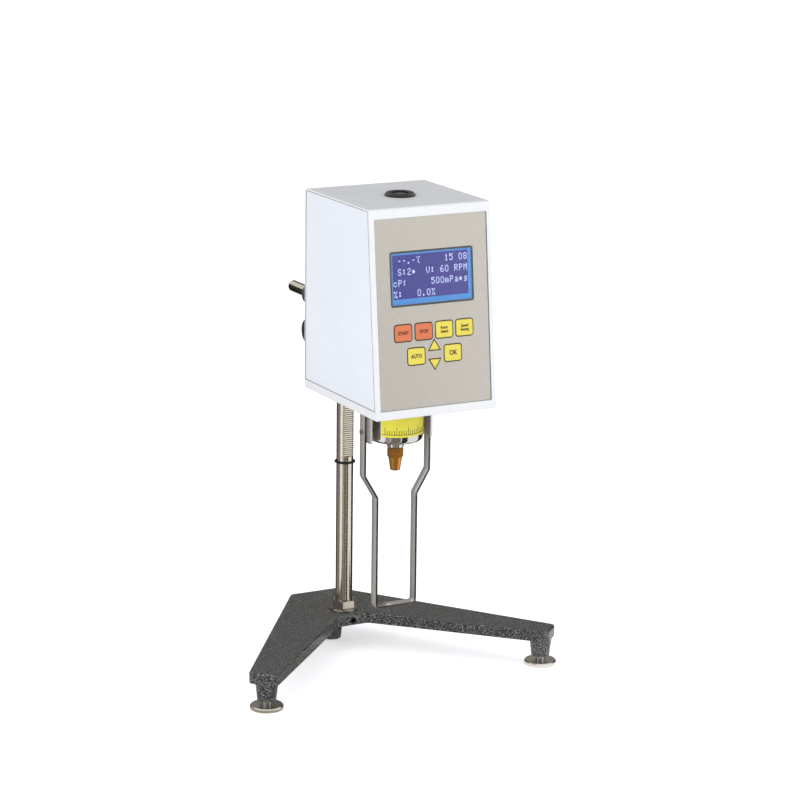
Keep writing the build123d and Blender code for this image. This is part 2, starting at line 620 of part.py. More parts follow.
def tension_screw():
    z = CLAMP_BOTTOM_Z + TENSION_RISE
    tip = COLUMN_Y + COLUMN_RADIUS + RUNNING_GAP
    seat = COLUMN_Y + CLAMP_BACK
    screw = along_y(TENSION_SCREW_RADIUS, tip, seat, 0, z)
    screw += along_y(TENSION_HEAD_RADIUS, seat, seat + TENSION_HEAD_LENGTH, 0, z)
    end = seat + TENSION_HEAD_LENGTH
    half = SLOT_WIDTH / 2
    return screw - block(-TENSION_HEAD_RADIUS, TENSION_HEAD_RADIUS, end - SLOT_DEPTH, end, z - half, z + half)


def lift_pinion():
    gear = involute_gear(RACK_MODULE, PINION_TEETH, PINION_WIDTH)
    gear = Pos(-PINION_WIDTH / 2, PINION_Y, PINION_Z) * Rot(0, 90, 0) * Rot(0, 0, 90) * gear
    journal_end = PINION_WIDTH / 2 + PINION_JOURNAL_LENGTH
    shaft = along_x(PINION_SHAFT_RADIUS, KNOB_OUTER_X + CLOSE_GAP, journal_end, PINION_Y, PINION_Z)
    big_journal = PINION_BORE_RADIUS - RUNNING_GAP
    collar_end = -COLUMN_RADIUS - FACE_GAP
    shaft += along_x(big_journal, -CLAMP_HALF_WIDTH, collar_end, PINION_Y, PINION_Z)
    return gear + shaft


def lift_knob():
    grip = fluted(KNOB_RADIUS, KNOB_THICKNESS, KNOB_FLUTES, KNOB_FLUTE_RADIUS)
    grip -= Cylinder(PINION_SHAFT_RADIUS + CLOSE_GAP, KNOB_THICKNESS, align=UP)
    hub_length = -CLAMP_HALF_WIDTH - FACE_GAP - KNOB_OUTER_X - KNOB_THICKNESS
    hub = Cylinder(PINION_SHAFT_RADIUS * 2, hub_length, align=UP)
    hub -= Cylinder(PINION_SHAFT_RADIUS + CLOSE_GAP, hub_length, align=UP)
    grip += Pos(0, 0, KNOB_THICKNESS) * hub
    return Pos(KNOB_OUTER_X, PINION_Y, PINION_Z) * Rot(0, 90, 0) * grip


def handle_screw():
    seat = ROD_Z + BARREL_RADIUS + THUMB_CLEARANCE
    screw = upright(THUMB_SHANK_RADIUS, ROD_X, thumb_y(), ROD_Z + ROD_RADIUS + RUNNING_GAP, seat)
    head = fluted(THUMB_HEAD_RADIUS, THUMB_HEAD_HEIGHT, THUMB_FLUTES, KNOB_FLUTE_RADIUS)
    return screw + Pos(ROD_X, thumb_y(), seat) * head


def handle_rod():
    inner = UPSTAND_FRONT_Y - ROD_NUT_HEIGHT
    rod = along_y(ROD_RADIUS, HEAD_BACK_Y, COLUMN_Y + ROD_BACK, ROD_X, ROD_Z)
    rod = chamfer(rod.edges().sort_by(Axis.Y)[-1], ROD_END_CHAMFER)
    rod += along_y(ROD_FLANGE_RADIUS, HEAD_BACK_Y, HEAD_BACK_Y + ROD_FLANGE_THICKNESS, ROD_X, ROD_Z)
    return rod + along_y(ROD_THREAD_RADIUS, inner, HEAD_BACK_Y, ROD_X, ROD_Z)


def rod_nut():
    nut = hexagon(ROD_NUT_FLATS, ROD_NUT_HEIGHT)
    nut -= Cylinder(ROD_THREAD_RADIUS + CLOSE_GAP, ROD_NUT_HEIGHT, align=UP)
    return Pos(ROD_X, UPSTAND_FRONT_Y, ROD_Z) * Rot(90, 0, 0) * nut


def post_places():
    """Centres of the four posts that carry the motor plate."""
    x = MOTOR_PLATE_WIDTH / 2 - POST_INSET
    front = SPINDLE_Y - MOTOR_PLATE_FORWARD + POST_INSET
    back = SPINDLE_Y + MOTOR_PLATE_BACK - POST_INSET
    return [(-x, front), (x, front), (-x, back), (x, back)]


def lug_places():
    """Low corner X, low corner Y and underside Z of each side panel's screw lugs."""
    back = HEAD_BACK_Y - SHEET - SEAM - LUG_DEPTH
    front = front_inner_y(PLATE_TOP_Z + LUG_HEIGHT) + SEAM
    top = HEAD_TOP_Z - SHEET - SEAM - LUG_HEIGHT - COVER_CORNER
    return [(LUG_INNER_X, back, PLATE_TOP_Z), (LUG_INNER_X, front, PLATE_TOP_Z), (LUG_INNER_X, back, top)]


def front_inner_y(z):
    """Y of the inside of the front wall at a height."""
    outer = HEAD_FRONT_Y + (z - HEAD_BOTTOM_Z) * math.tan(LEAN)
    return outer + FRONT_WALL / math.cos(LEAN)


def screw_places():
    """Head seat and direction of each cover screw: from behind, and from below."""
    places = []
    for side in (-1, 1):
        for number, (x, y, z) in enumerate(lug_places()):
            middle_x = side * (x + LUG_WIDTH / 2)
            if number != 1:
                places.append(((middle_x, HEAD_BACK_Y, z + LUG_HEIGHT * LUG_SCREW_SHARE), (0, -1, 0)))
            if number != 2:
                places.append(((middle_x, y + LUG_DEPTH / 2, HEAD_BOTTOM_Z), (0, 0, 1)))
    return places


def screw_hole(seat, direction, radius, depth):
    """Round hole from a screw's seat into the metal."""
    return Plane(origin=seat, z_dir=direction) * Cylinder(radius, depth, align=UP)


def machine_screw(seat, direction, length):
    """Pan head screw: head outside its seat, shank going in."""
    head = Cylinder(SCREW_HEAD_RADIUS, SCREW_HEAD_HEIGHT, align=DOWN)
    head = fillet(head.edges().sort_by(Axis.Z)[0], SCREW_HEAD_HEIGHT / 2)
    for turn in (0, 90):
        slot = Box(SCREW_HEAD_RADIUS, SCREW_HEAD_HEIGHT / 3, SCREW_HEAD_HEIGHT)
        head -= Pos(0, 0, -SCREW_HEAD_HEIGHT) * Rot(0, 0, turn) * slot
    return Plane(origin=seat, z_dir=direction) * (head + Cylinder(SCREW_RADIUS, length, align=UP))


def cover_screws():
    length = SHEET + SCREW_LENGTH
    screws = []
    for seat, direction in screw_places():
        reach = length if direction[2] == 0 else PLATE_HEIGHT + SCREW_LENGTH
        screws.append(machine_screw(seat, direction, reach))
    return Compound(children=screws)


def bottom_plate():
    half = HEAD_WIDTH / 2
    plate = block(-half, half, HEAD_FRONT_Y, HEAD_BACK_Y, HEAD_BOTTOM_Z, PLATE_TOP_Z)
    plate = chamfer(plate.edges().group_by(Axis.Z)[0], PLATE_EDGE)
    left = -LUG_INNER_X + UPSTAND_LUG_GAP
    right = ROD_X + UPSTAND_RIGHT
    plate += block(left, right, UPSTAND_FRONT_Y, UPSTAND_BACK_Y, PLATE_TOP_Z, ROD_Z + UPSTAND_MARGIN)
    plate -= upright(SPIGOT_RADIUS + CLOSE_GAP, 0, SPINDLE_Y, HEAD_BOTTOM_Z, PLATE_TOP_Z)
    plate -= along_y(ROD_THREAD_RADIUS + CLOSE_GAP, UPSTAND_FRONT_Y, UPSTAND_BACK_Y, ROD_X, ROD_Z)
    for seat, direction in screw_places():
        if direction[2] == 1:
            plate -= screw_hole(seat, direction, SCREW_RADIUS + CLOSE_GAP, PLATE_HEIGHT)
    for side in (-1, 1):
        seat = arm_screw_seat(side, HEAD_BOTTOM_Z)
        plate -= screw_hole(seat, (0, 0, 1), SCREW_RADIUS + CLOSE_GAP, PLATE_HEIGHT)
    return plate


def shell_points(side_gap, front_gap, bottom_z):
    """Side view of the head as Y, Z corners, drawn in by the sheet and a gap."""
    top = HEAD_TOP_Z - side_gap
    back = HEAD_BACK_Y - side_gap
    lean = math.tan(LEAN)
    inset = front_gap / math.cos(LEAN)
    front_low = HEAD_FRONT_Y + (bottom_z - HEAD_BOTTOM_Z) * lean + inset
    front_high = HEAD_FRONT_Y + (top - HEAD_BOTTOM_Z) * lean + inset
    return [(front_low, bottom_z), (front_high, top), (back, top), (back, bottom_z)]


def shell_prism(points, x0, x1, corner):
    """Prism across the head with rounded top corners."""
    face = make_face(Polyline([(x0, y, z) for y, z in points], close=True))
    top = face.vertices().group_by(Axis.Z)[-1]
    if corner > 0:
        face = fillet(top, corner)
    return extrude(face, x1 - x0, dir=(1, 0, 0))


def key_list():
    """Each key: name, shape, distance across, distance down."""
    keys = []
    for number, name in enumerate(("start", "stop", "rotor", "speed")):
        keys.append((f"key_{name}", "square", (number - (KEY_COLUMNS - 1) / 2) * KEY_PITCH, KEY_ROW_DOWN))
    keys.append(("key_auto", "square", -LOWER_KEY_OFFSET, LOWER_KEY_DOWN))
    keys.append(("key_enter", "square", LOWER_KEY_OFFSET, LOWER_KEY_DOWN))
    keys.append(("key_up", "up", 0.0, ARROW_UP_DOWN))
    keys.append(("key_down", "down", 0.0, ARROW_DOWN_DOWN))
    return keys


def key_outline(shape, grow):
    """Outline of a key, grown evenly by `grow`."""
    if shape == "square":
        corner = KEY_CORNER + grow
        return RectangleRounded(KEY_WIDTH + 2 * grow, KEY_HEIGHT + 2 * grow, corner)
    half = ARROW_WIDTH / 2
    side = math.hypot(half, ARROW_HEIGHT)
    inner = half * ARROW_HEIGHT / (half + side)
    scale = 1 + grow / inner
    low = -inner * scale
    high = low + ARROW_HEIGHT * scale
    points = [(-half * scale, low), (half * scale, low), (0, high)]
    if shape == "down":
        points = [(x, -y) for x, y in points]
    shift = inner - ARROW_HEIGHT / 2
    shift = shift if shape == "up" else -shift
    return Pos(0, shift, 0) * make_face(Polyline(points, close=True))


def key_prism(key, grow, out, depth):
    """Prism of a key's outline on the sloping front."""
    name, shape, across, down = key
    return FRONT * (Pos(across, -down, out - depth) * extrude(key_outline(shape, grow), depth))


def key_piece(key):
    name, shape, across, down = key
    cap = key_prism(key, 0, KEY_PROUD, KEY_PROUD + KEY_WALL_BACK)
    cap += key_prism(key, KEY_FLANGE, -KEY_WALL_BACK, KEY_FLANGE_THICKNESS)
    stem_start = KEY_WALL_BACK + KEY_FLANGE_THICKNESS
    return cap + front_pin(KEY_STEM_RADIUS, across, down, -stem_start, KEY_STEM_LENGTH)


def cover():
    half = HEAD_WIDTH / 2
    inner_corner = COVER_CORNER - SHEET
    shell = shell_prism(shell_points(0, 0, PLATE_TOP_Z), -half, half, COVER_CORNER)
    shell -= shell_prism(shell_points(SHEET, FRONT_WALL, PLATE_TOP_Z - SHEET), -half, half, inner_corner)
    pocket_height = COVER_DOWN - PANEL_TOP_BAND + SHEET
    pocket_down = PANEL_TOP_BAND + pocket_height / 2
    width, depth = PANEL_WIDTH + 2 * SEAM, CUT_OVER + PANEL_THICKNESS + PANEL_RECESS
    shell -= front_box(width, pocket_height, 0, pocket_down - SEAM, CUT_OVER, depth)
    shell -= front_box(WINDOW_WIDTH, WINDOW_HEIGHT, 0, DISPLAY_DOWN, 0, FRONT_WALL * 2)
    for key in key_list():
        shell -= key_prism(key, KEY_HOLE_GAP, 0, FRONT_WALL * 2)
    shell -= upright(BEZEL_BODY_RADIUS + CLOSE_GAP, 0, bubble_y(), HEAD_TOP_Z - SHEET, HEAD_TOP_Z)
    back_holes = [along_y(ROD_THREAD_RADIUS + CLOSE_GAP, HEAD_BACK_Y - SHEET, HEAD_BACK_Y, ROD_X, ROD_Z)]
    grow = 2 * CLOSE_GAP
    back_holes.append(back_box(INLET_X, inlet_z(), INLET_WIDTH + grow, INLET_HEIGHT + grow, 0, SHEET))
    width, height = switch_size()
    back_holes.append(back_box(INLET_X, switch_z(), width + grow, height + grow, 0, SHEET))
    for seat, direction in screw_places():
        if direction[1] == -1:
            back_holes.append(screw_hole(seat, direction, SCREW_RADIUS + CLOSE_GAP, SHEET))
    for hole in back_holes:
        shell -= hole
    return shell


def side_panel(side):
    outer = HEAD_WIDTH / 2 - SIDE_RECESS
    points = shell_points(SHEET + SEAM, FRONT_WALL + SEAM, PLATE_TOP_Z)
    panel = shell_prism(points, outer - SHEET, outer, COVER_CORNER - SHEET - SEAM)
    for x, y, z in lug_places():
        panel += block(x, outer - SHEET, y, y + LUG_DEPTH, z, z + LUG_HEIGHT)
    for seat, direction in screw_places():
        if seat[0] > 0:
            depth = PLATE_HEIGHT + SCREW_LENGTH + FACE_GAP
            panel -= screw_hole(seat, direction, SCREW_RADIUS + CLOSE_GAP, depth)
    return panel if side > 0 else mirror(panel, Plane.YZ)


def front_panel():
    height = COVER_DOWN - PANEL_TOP_BAND - SEAM
    down = PANEL_TOP_BAND + height / 2
    panel = front_box(PANEL_WIDTH, height, 0, down, -PANEL_RECESS, PANEL_THICKNESS)
    thick = PANEL_THICKNESS * 3
    panel -= front_box(DISPLAY_WIDTH, DISPLAY_HEIGHT, 0, DISPLAY_DOWN, thick / 2, thick, DISPLAY_CORNER)
    for key in key_list():
        panel -= key_prism(key, KEY_HOLE_GAP, thick / 2, thick)
    return panel


def display_lens():
    width, height = DISPLAY_WIDTH - 2 * CLOSE_GAP, DISPLAY_HEIGHT - 2 * CLOSE_GAP
    return front_box(width, height, 0, DISPLAY_DOWN, -PANEL_RECESS, PANEL_THICKNESS, DISPLAY_CORNER)


def spacers(width, height, down, front, length):
    """Four round spacers behind the front wall, near a board's corners."""
    across = width / 2 - SPACER_INSET
    along = height / 2 - SPACER_INSET
    corners = [(-across, -along), (across, -along), (-across, along), (across, along)]
    return [front_pin(SPACER_RADIUS, x, down + y, -front, length) for x, y in corners]


def display_module():
    glass_front = PANEL_RECESS + PANEL_THICKNESS + FACE_GAP
    width, height = WINDOW_WIDTH - 2 * SEAM, WINDOW_HEIGHT - 2 * SEAM
    picture = front_box(width, height, 0, DISPLAY_DOWN, -glass_front, FRONT_WALL - glass_front + SEAM)
    frame_front = FRONT_WALL + FACE_GAP
    frame = front_box(LCD_FRAME_WIDTH, LCD_FRAME_HEIGHT, 0, DISPLAY_DOWN, -frame_front, LCD_FRAME_DEPTH)
    board_front = frame_front + LCD_FRAME_DEPTH
    board = front_box(LCD_BOARD_WIDTH, LCD_BOARD_HEIGHT, 0, DISPLAY_DOWN, -board_front, BOARD_THICKNESS)
    feet = spacers(LCD_BOARD_WIDTH, LCD_BOARD_HEIGHT, DISPLAY_DOWN, frame_front, LCD_FRAME_DEPTH)
    return Compound(children=[picture + frame, board] + feet)


def key_board():
    board = front_box(KEY_BOARD_WIDTH, KEY_BOARD_HEIGHT, 0, KEY_BOARD_DOWN, -KEY_BOARD_FRONT, BOARD_THICKNESS)
    front = FRONT_WALL + FACE_GAP
    feet = spacers(KEY_BOARD_WIDTH, KEY_BOARD_HEIGHT, KEY_BOARD_DOWN, front, KEY_BOARD_FRONT - front)
    switches = []
    for name, shape, across, down in key_list():
        switches.append(front_box(SWITCH_SIZE, SWITCH_SIZE, across, down, -SWITCH_FRONT, SWITCH_HEIGHT))
    return Compound(children=[board] + feet + switches)


def bubble_y():
    return SPINDLE_Y - BUBBLE_FORWARD


def bubble_bezel():
    rim = Cylinder(BEZEL_RADIUS, BEZEL_HEIGHT, align=UP)
    rim = chamfer(rim.edges().sort_by(Axis.Z)[-1], BEZEL_BEVEL)
    body = rim + Cylinder(BEZEL_BODY_RADIUS, BEZEL_DEPTH, align=DOWN)
    depth = BEZEL_DEPTH - BEZEL_FLOOR
    body -= Pos(0, 0, -depth) * Cylinder(VIAL_RADIUS + CLOSE_GAP, depth + BEZEL_HEIGHT, align=UP)
    return Pos(0, bubble_y(), HEAD_TOP_Z) * body


def bubble_vial():
    bottom = BEZEL_FLOOR - BEZEL_DEPTH
    vial = Pos(0, 0, bottom) * Cylinder(VIAL_RADIUS, VIAL_PROUD - bottom, align=UP)
    vial = chamfer(vial.edges().sort_by(Axis.Z)[-1], VIAL_RADIUS / 10)
    return Pos(0, bubble_y(), HEAD_TOP_Z) * vial


def inlet_z():
    return HEAD_BOTTOM_Z + INLET_RISE


def switch_z():
    return HEAD_BOTTOM_Z + SWITCH_RISE


def back_box(x, z, width, height, out, depth):
    """Box on the back of the head: outer face `out` behind it, `depth` thick."""
    outer = HEAD_BACK_Y + out
    return block(x - width / 2, x + width / 2, outer - depth, outer, z - height / 2, z + height / 2)


def power_inlet():
    z = inlet_z()
    rim_width, rim_height = INLET_WIDTH + 2 * INLET_RIM, INLET_HEIGHT + 2 * INLET_RIM
    body = back_box(INLET_X, z, rim_width, rim_height, INLET_RIM_THICKNESS, INLET_RIM_THICKNESS)
    body += back_box(INLET_X, z, INLET_WIDTH, INLET_HEIGHT, 0, INLET_DEPTH)
    wide, high = INLET_WIDTH - 2 * INLET_WALL, INLET_HEIGHT - 2 * INLET_WALL
    body -= back_box(INLET_X, z, wide, high, INLET_RIM_THICKNESS, INLET_CAVITY)
    pin_length = INLET_CAVITY - PIN_RECESS + CLOSE_GAP
    for x, rise in ((-PIN_SPACING, -PIN_OFFSET), (PIN_SPACING, -PIN_OFFSET), (0, PIN_OFFSET)):
        out = INLET_RIM_THICKNESS - PIN_RECESS
        body += back_box(INLET_X + x, z + rise, PIN_THICKNESS, PIN_HEIGHT, out, pin_length)
    return body


def switch_size():
    """Width and height of the switch body that passes through the back wall."""
    width = ROCKER_WIDTH + 2 * ROCKER_GAP + 2 * SWITCH_WALL
    return width, 2 * (ROCKER_RADIUS + ROCKER_GAP + SWITCH_WALL)


def rocker_pivot_y():
    return HEAD_BACK_Y + SWITCH_RIM_THICKNESS - ROCKER_PIVOT_DEPTH


def switch_body():
    width, height = switch_size()
    z = switch_z()
    rim_width, rim_height = width + 2 * SWITCH_RIM, height + 2 * SWITCH_RIM
    body = back_box(INLET_X, z, rim_width, rim_height, SWITCH_RIM_THICKNESS, SWITCH_RIM_THICKNESS)
    body += back_box(INLET_X, z, width, height, 0, SWITCH_DEPTH)
    half = ROCKER_WIDTH / 2 + ROCKER_GAP
    well = ROCKER_RADIUS + ROCKER_GAP
    pivot = rocker_pivot_y()
    body -= along_x(well, INLET_X - half, INLET_X + half, pivot, z)
    mouth = HEAD_BACK_Y + SWITCH_RIM_THICKNESS
    body -= block(INLET_X - half, INLET_X + half, pivot, mouth, z - well, z + well)
    pin_half = ROCKER_WIDTH / 2 + ROCKER_PIN_LENGTH + RUNNING_GAP
    return body - along_x(ROCKER_PIN_RADIUS + RUNNING_GAP, INLET_X - pin_half, INLET_X + pin_half, pivot, z)


def rocker():
    z = switch_z()
    pivot = rocker_pivot_y()
    half = ROCKER_WIDTH / 2
    reach = ROCKER_RADIUS * 2
    slope = math.tan(math.radians(ROCKER_TILT))
    middle = ROCKER_CENTRE_HEIGHT
    points = [(-reach, -reach), (reach, -reach), (reach, middle + reach * slope), (0, middle)]
    points.append((-reach, middle + reach * slope))
    wedge = make_face(Polyline([(0, y, s) for s, y in points], close=True))
    wedge = extrude(wedge, half, dir=(1, 0, 0), both=True)
    paddle = wedge & along_x(ROCKER_RADIUS, -half, half, 0, 0)
    pin_half = half + ROCKER_PIN_LENGTH
    paddle += along_x(ROCKER_PIN_RADIUS, -pin_half, pin_half, 0, 0)
    return Pos(INLET_X, pivot, z) * Rot(-ROCKER_TILT, 0, 0) * paddle


def bearing_cup():
    cup = Pos(0, 0, -CUP_LENGTH) * Cylinder(CUP_RADIUS, CUP_LENGTH, align=UP)
    cup = fillet(cup.edges().sort_by(Axis.Z)[0], CUP_ROUND)
    spigot_top = PLATE_HEIGHT + SPIGOT_STICK_UP
    cup += Cylinder(SPIGOT_RADIUS, spigot_top, align=UP)
    cup += Pos(0, 0, -CUP_LENGTH) * Cylinder(NECK_RADIUS, NECK_LENGTH, align=DOWN)
    inside = Pos(0, 0, CUP_FLOOR - CUP_LENGTH) * Cylinder(
        CUP_RADIUS - CUP_WALL, CUP_LENGTH - CUP_FLOOR - CUP_WALL, align=UP
    )
    cup -= fillet(inside.edges().sort_by(Axis.Z)[0], CUP_ROUND - CUP_WALL)
    throat = Cylinder(SPIGOT_RADIUS - SPIGOT_WALL, CUP_LENGTH / 2 + spigot_top, align=UP)
    cup -= Pos(0, 0, -CUP_LENGTH / 2) * throat
    pocket = NECK_LENGTH + CUP_FLOOR - NECK_LIP
    cup -= Pos(0, 0, CUP_FLOOR - CUP_LENGTH) * Cylinder(BEARING_RADIUS + CLOSE_GAP, pocket, align=DOWN)
    bottom = -CUP_LENGTH - NECK_LENGTH
    cup -= Pos(0, 0, bottom) * Cylinder(PIVOT_RADIUS + CONNECTOR_GAP, NECK_LIP + CUT_OVER, align=UP)
    return Pos(0, SPINDLE_Y, HEAD_BOTTOM_Z) * cup


def cup_band():
    height = CUP_LENGTH - BAND_TOP_MARGIN - BAND_BOTTOM_MARGIN
    inner, outer = CUP_RADIUS + CLOSE_GAP, CUP_RADIUS + CLOSE_GAP + BAND_THICKNESS
    ring = Circle(outer) - Circle(inner)
    reach = outer * 2
    angle = math.radians(BAND_HALF_ANGLE)
    side = (reach * math.sin(angle), -reach * math.cos(angle))
    wedge = make_face(Polyline([(0, 0), side, (0, -reach * 2), (-side[0], side[1])], close=True))
    band = extrude(ring & wedge, height)
    return Pos(0, SPINDLE_Y, CUP_BOTTOM_Z + BAND_BOTTOM_MARGIN) * band


def shaft_bearings():
    lower_z = NECK_BOTTOM_Z + NECK_LIP
    lower = upright(BEARING_RADIUS, 0, SPINDLE_Y, lower_z, lower_z + BEARING_HEIGHT)
    lower -= upright(PIVOT_RADIUS + RUNNING_GAP, 0, SPINDLE_Y, lower_z, lower_z + BEARING_HEIGHT)
    upper = upright(UPPER_BEARING_RADIUS, 0, SPINDLE_Y, UPPER_BEARING_Z, UPPER_BEARING_TOP_Z)
    upper -= upright(DRIVE_SHAFT_RADIUS + RUNNING_GAP, 0, SPINDLE_Y, UPPER_BEARING_Z, UPPER_BEARING_TOP_Z)
    return Compound(children=[lower, upper])


def spindle_connector():
    shaper = Cylinder(CONNECTOR_FLATS / math.sqrt(3), CONNECTOR_HEX_HEIGHT, align=UP)
    shaper = chamfer(shaper.edges().filter_by(GeomType.CIRCLE), CONNECTOR_CHAMFER)
    body = hexagon(CONNECTOR_FLATS, CONNECTOR_HEX_HEIGHT) & shaper
    body = Pos(0, 0, -CONNECTOR_HEX_HEIGHT) * Rot(0, 0, CONNECTOR_TURN) * body
    cone = Cone(CONNECTOR_TIP_RADIUS, CONNECTOR_CONE_TOP_RADIUS, CONNECTOR_CONE_HEIGHT, align=DOWN)
    body += Pos(0, 0, -CONNECTOR_HEX_HEIGHT) * cone
    body -= Cylinder(PIVOT_RADIUS + CLOSE_GAP, CONNECTOR_SOCKET_DEPTH, align=DOWN)
    tip = -CONNECTOR_HEX_HEIGHT - CONNECTOR_CONE_HEIGHT
    body -= Pos(0, 0, tip) * Cylinder(SPINDLE_HOLE_RADIUS, SPINDLE_HOLE_LENGTH, align=UP)
    return Pos(0, SPINDLE_Y, CONNECTOR_TOP_Z) * body


def pivot_shaft():
    bottom = CONNECTOR_TOP_Z - CONNECTOR_SOCKET_DEPTH + CLOSE_GAP
    return upright(PIVOT_RADIUS, 0, SPINDLE_Y, bottom, DRIVE_SHAFT_BOTTOM_Z + PIVOT_ENGAGEMENT)


def slotted_disc(z, bore, hub_up):
    """Thin sensor disc with a hub above or below it."""
    disc = Cylinder(DISC_RADIUS, DISC_THICKNESS, align=UP)
    disc += Cylinder(HUB_RADIUS, HUB_HEIGHT, align=UP if hub_up else DOWN)
    slot = Pos(DISC_RADIUS, 0, 0) * Box(DISC_SLOT_DEPTH * 2, DISC_SLOT_WIDTH, DISC_THICKNESS, align=UP)
    for number in range(DISC_SLOTS):
        disc -= Rot(0, 0, 90 + number * 360 / DISC_SLOTS) * slot
    disc -= Pos(0, 0, -HUB_HEIGHT) * Cylinder(bore, HUB_HEIGHT * 2 + DISC_THICKNESS, align=UP)
    return Pos(0, SPINDLE_Y, z) * disc


def torque_disc():
    return slotted_disc(TORQUE_DISC_Z, PIVOT_RADIUS + CLOSE_GAP, False)


def spring_z():
    """Underside of the hairspring, half way between the two discs."""
    return (TORQUE_DISC_Z + DRIVE_DISC_Z + DISC_THICKNESS - SPRING_WIDTH) / 2


def spring_start():
    """Inner radius of the hairspring's first half turn, which starts in the collet."""
    return PIVOT_RADIUS + RUNNING_GAP + COLLET_WALL + SPRING_PITCH / 4 - SPRING_STRIP / 2


def stud_x():
    """X of the pin that holds the hairspring's outer end, measured from the spindle axis."""
    outer = spring_start() + (SPRING_HALF_TURNS - 0.5) * SPRING_PITCH / 2 + SPRING_STRIP
    return outer + STUD_PIN_RADIUS + CLOSE_GAP


def drive_disc():
    disc = slotted_disc(DRIVE_DISC_Z, DRIVE_SHAFT_RADIUS + CLOSE_GAP, True)
    return disc + upright(STUD_PIN_RADIUS, stud_x(), SPINDLE_Y, spring_z(), DRIVE_DISC_Z)


def hairspring():
    """Flat spiral of half turns about two centres, on a collet that turns about the pivot shaft."""
    bore = PIVOT_RADIUS + RUNNING_GAP
    spiral = extrude(Circle(bore + COLLET_WALL) - Circle(bore), SPRING_WIDTH)
    step = SPRING_PITCH / 2
    for number in range(SPRING_HALF_TURNS):
        radius = spring_start() + number * step
        above = number % 2 == 0
        side = Align.MIN if above else Align.MAX
        half = Rectangle(radius * 3, radius * 3, align=(Align.CENTER, side))
        turn = (Circle(radius + SPRING_STRIP) - Circle(radius)) & half
        centre = -step / 2 if above else step / 2
        spiral += Pos(centre, 0, 0) * extrude(turn, SPRING_WIDTH)
    return Pos(0, SPINDLE_Y, spring_z()) * spiral


def drive_shaft():
    top = UPPER_BEARING_TOP_Z + FACE_GAP + COLLAR_HEIGHT
    shaft = upright(DRIVE_SHAFT_RADIUS, 0, SPINDLE_Y, DRIVE_SHAFT_BOTTOM_Z, top)
    shaft += upright(COLLAR_RADIUS, 0, SPINDLE_Y, top - COLLAR_HEIGHT, top)
    bore_top = DRIVE_SHAFT_BOTTOM_Z + PIVOT_ENGAGEMENT + FACE_GAP
    return shaft - upright(PIVOT_RADIUS + RUNNING_GAP, 0, SPINDLE_Y, DRIVE_SHAFT_BOTTOM_Z, bore_top)


def drive_gear():
    gear = involute_gear(GEAR_MODULE, DRIVE_GEAR_TEETH, GEAR_WIDTH, DRIVE_SHAFT_RADIUS + CLOSE_GAP)
    return Pos(0, SPINDLE_Y, HEAD_BOTTOM_Z + GEAR_RISE) * Rot(0, 0, 90) * gear


def motor_pinion():
    half_tooth = 180 / MOTOR_PINION_TEETH
    gear = Rot(0, 0, -90 + half_tooth) * involute_gear(GEAR_MODULE, MOTOR_PINION_TEETH, MOTOR_PINION_WIDTH)
    z = HEAD_BOTTOM_Z + GEAR_RISE - (MOTOR_PINION_WIDTH - GEAR_WIDTH) / 2
    top = MOTOR_PLATE_TOP_Z + MOTOR_SHAFT_LENGTH
    return Pos(0, MOTOR_Y, z) * gear + upright(MOTOR_SHAFT_RADIUS, 0, MOTOR_Y, z, top)


def motor():
    can = upright(MOTOR_RADIUS, 0, MOTOR_Y, MOTOR_PLATE_TOP_Z, MOTOR_PLATE_TOP_Z + MOTOR_HEIGHT)
    can = chamfer(can.edges().sort_by(Axis.Z)[-1], MOTOR_CHAMFER)
    top = MOTOR_PLATE_TOP_Z + MOTOR_SHAFT_LENGTH + FACE_GAP
    return can - upright(MOTOR_SHAFT_RADIUS + RUNNING_GAP, 0, MOTOR_Y, MOTOR_PLATE_TOP_Z, top)


def motor_plate():
    half = MOTOR_PLATE_WIDTH / 2
    front, back = SPINDLE_Y - MOTOR_PLATE_FORWARD, SPINDLE_Y + MOTOR_PLATE_BACK
    plate = block(-half, half, front, back, MOTOR_PLATE_Z, MOTOR_PLATE_TOP_Z)
    plate -= upright(UPPER_BEARING_RADIUS + CLOSE_GAP, 0, SPINDLE_Y, MOTOR_PLATE_Z, MOTOR_PLATE_TOP_Z)
    return plate - upright(MOTOR_SHAFT_RADIUS * 2, 0, MOTOR_Y, MOTOR_PLATE_Z, MOTOR_PLATE_TOP_Z)


def frame_posts():
    posts = [upright(POST_RADIUS, x, y, PLATE_TOP_Z, MOTOR_PLATE_Z) for x, y in post_places()]
    posts += [upright(POST_RADIUS, x, y, MOTOR_PLATE_TOP_Z, BOARD_Z) for x, y in post_places()]
    return Compound(children=posts)


def main_board():
    half = MOTOR_PLATE_WIDTH / 2
    depth = MOTOR_PLATE_FORWARD + MOTOR_PLATE_BACK
    front, back = SPINDLE_Y - MOTOR_PLATE_FORWARD, SPINDLE_Y + MOTOR_PLATE_BACK
    top = BOARD_Z + MAIN_BOARD_THICKNESS
    pieces = [block(-half, half, front, back, BOARD_Z, top)]
    chip_width, chip_depth = MOTOR_PLATE_WIDTH / CHIP_COLUMNS, depth / CHIP_ROWS
    chip = Box(chip_width * CHIP_SHARE, chip_depth * CHIP_SHARE, CHIP_HEIGHT, align=UP)
    for place in GridLocations(chip_width, chip_depth, CHIP_COLUMNS, CHIP_ROWS):
        pieces.append(Pos(0, (front + back) / 2, top) * place * chip)
    return Compound(children=pieces)


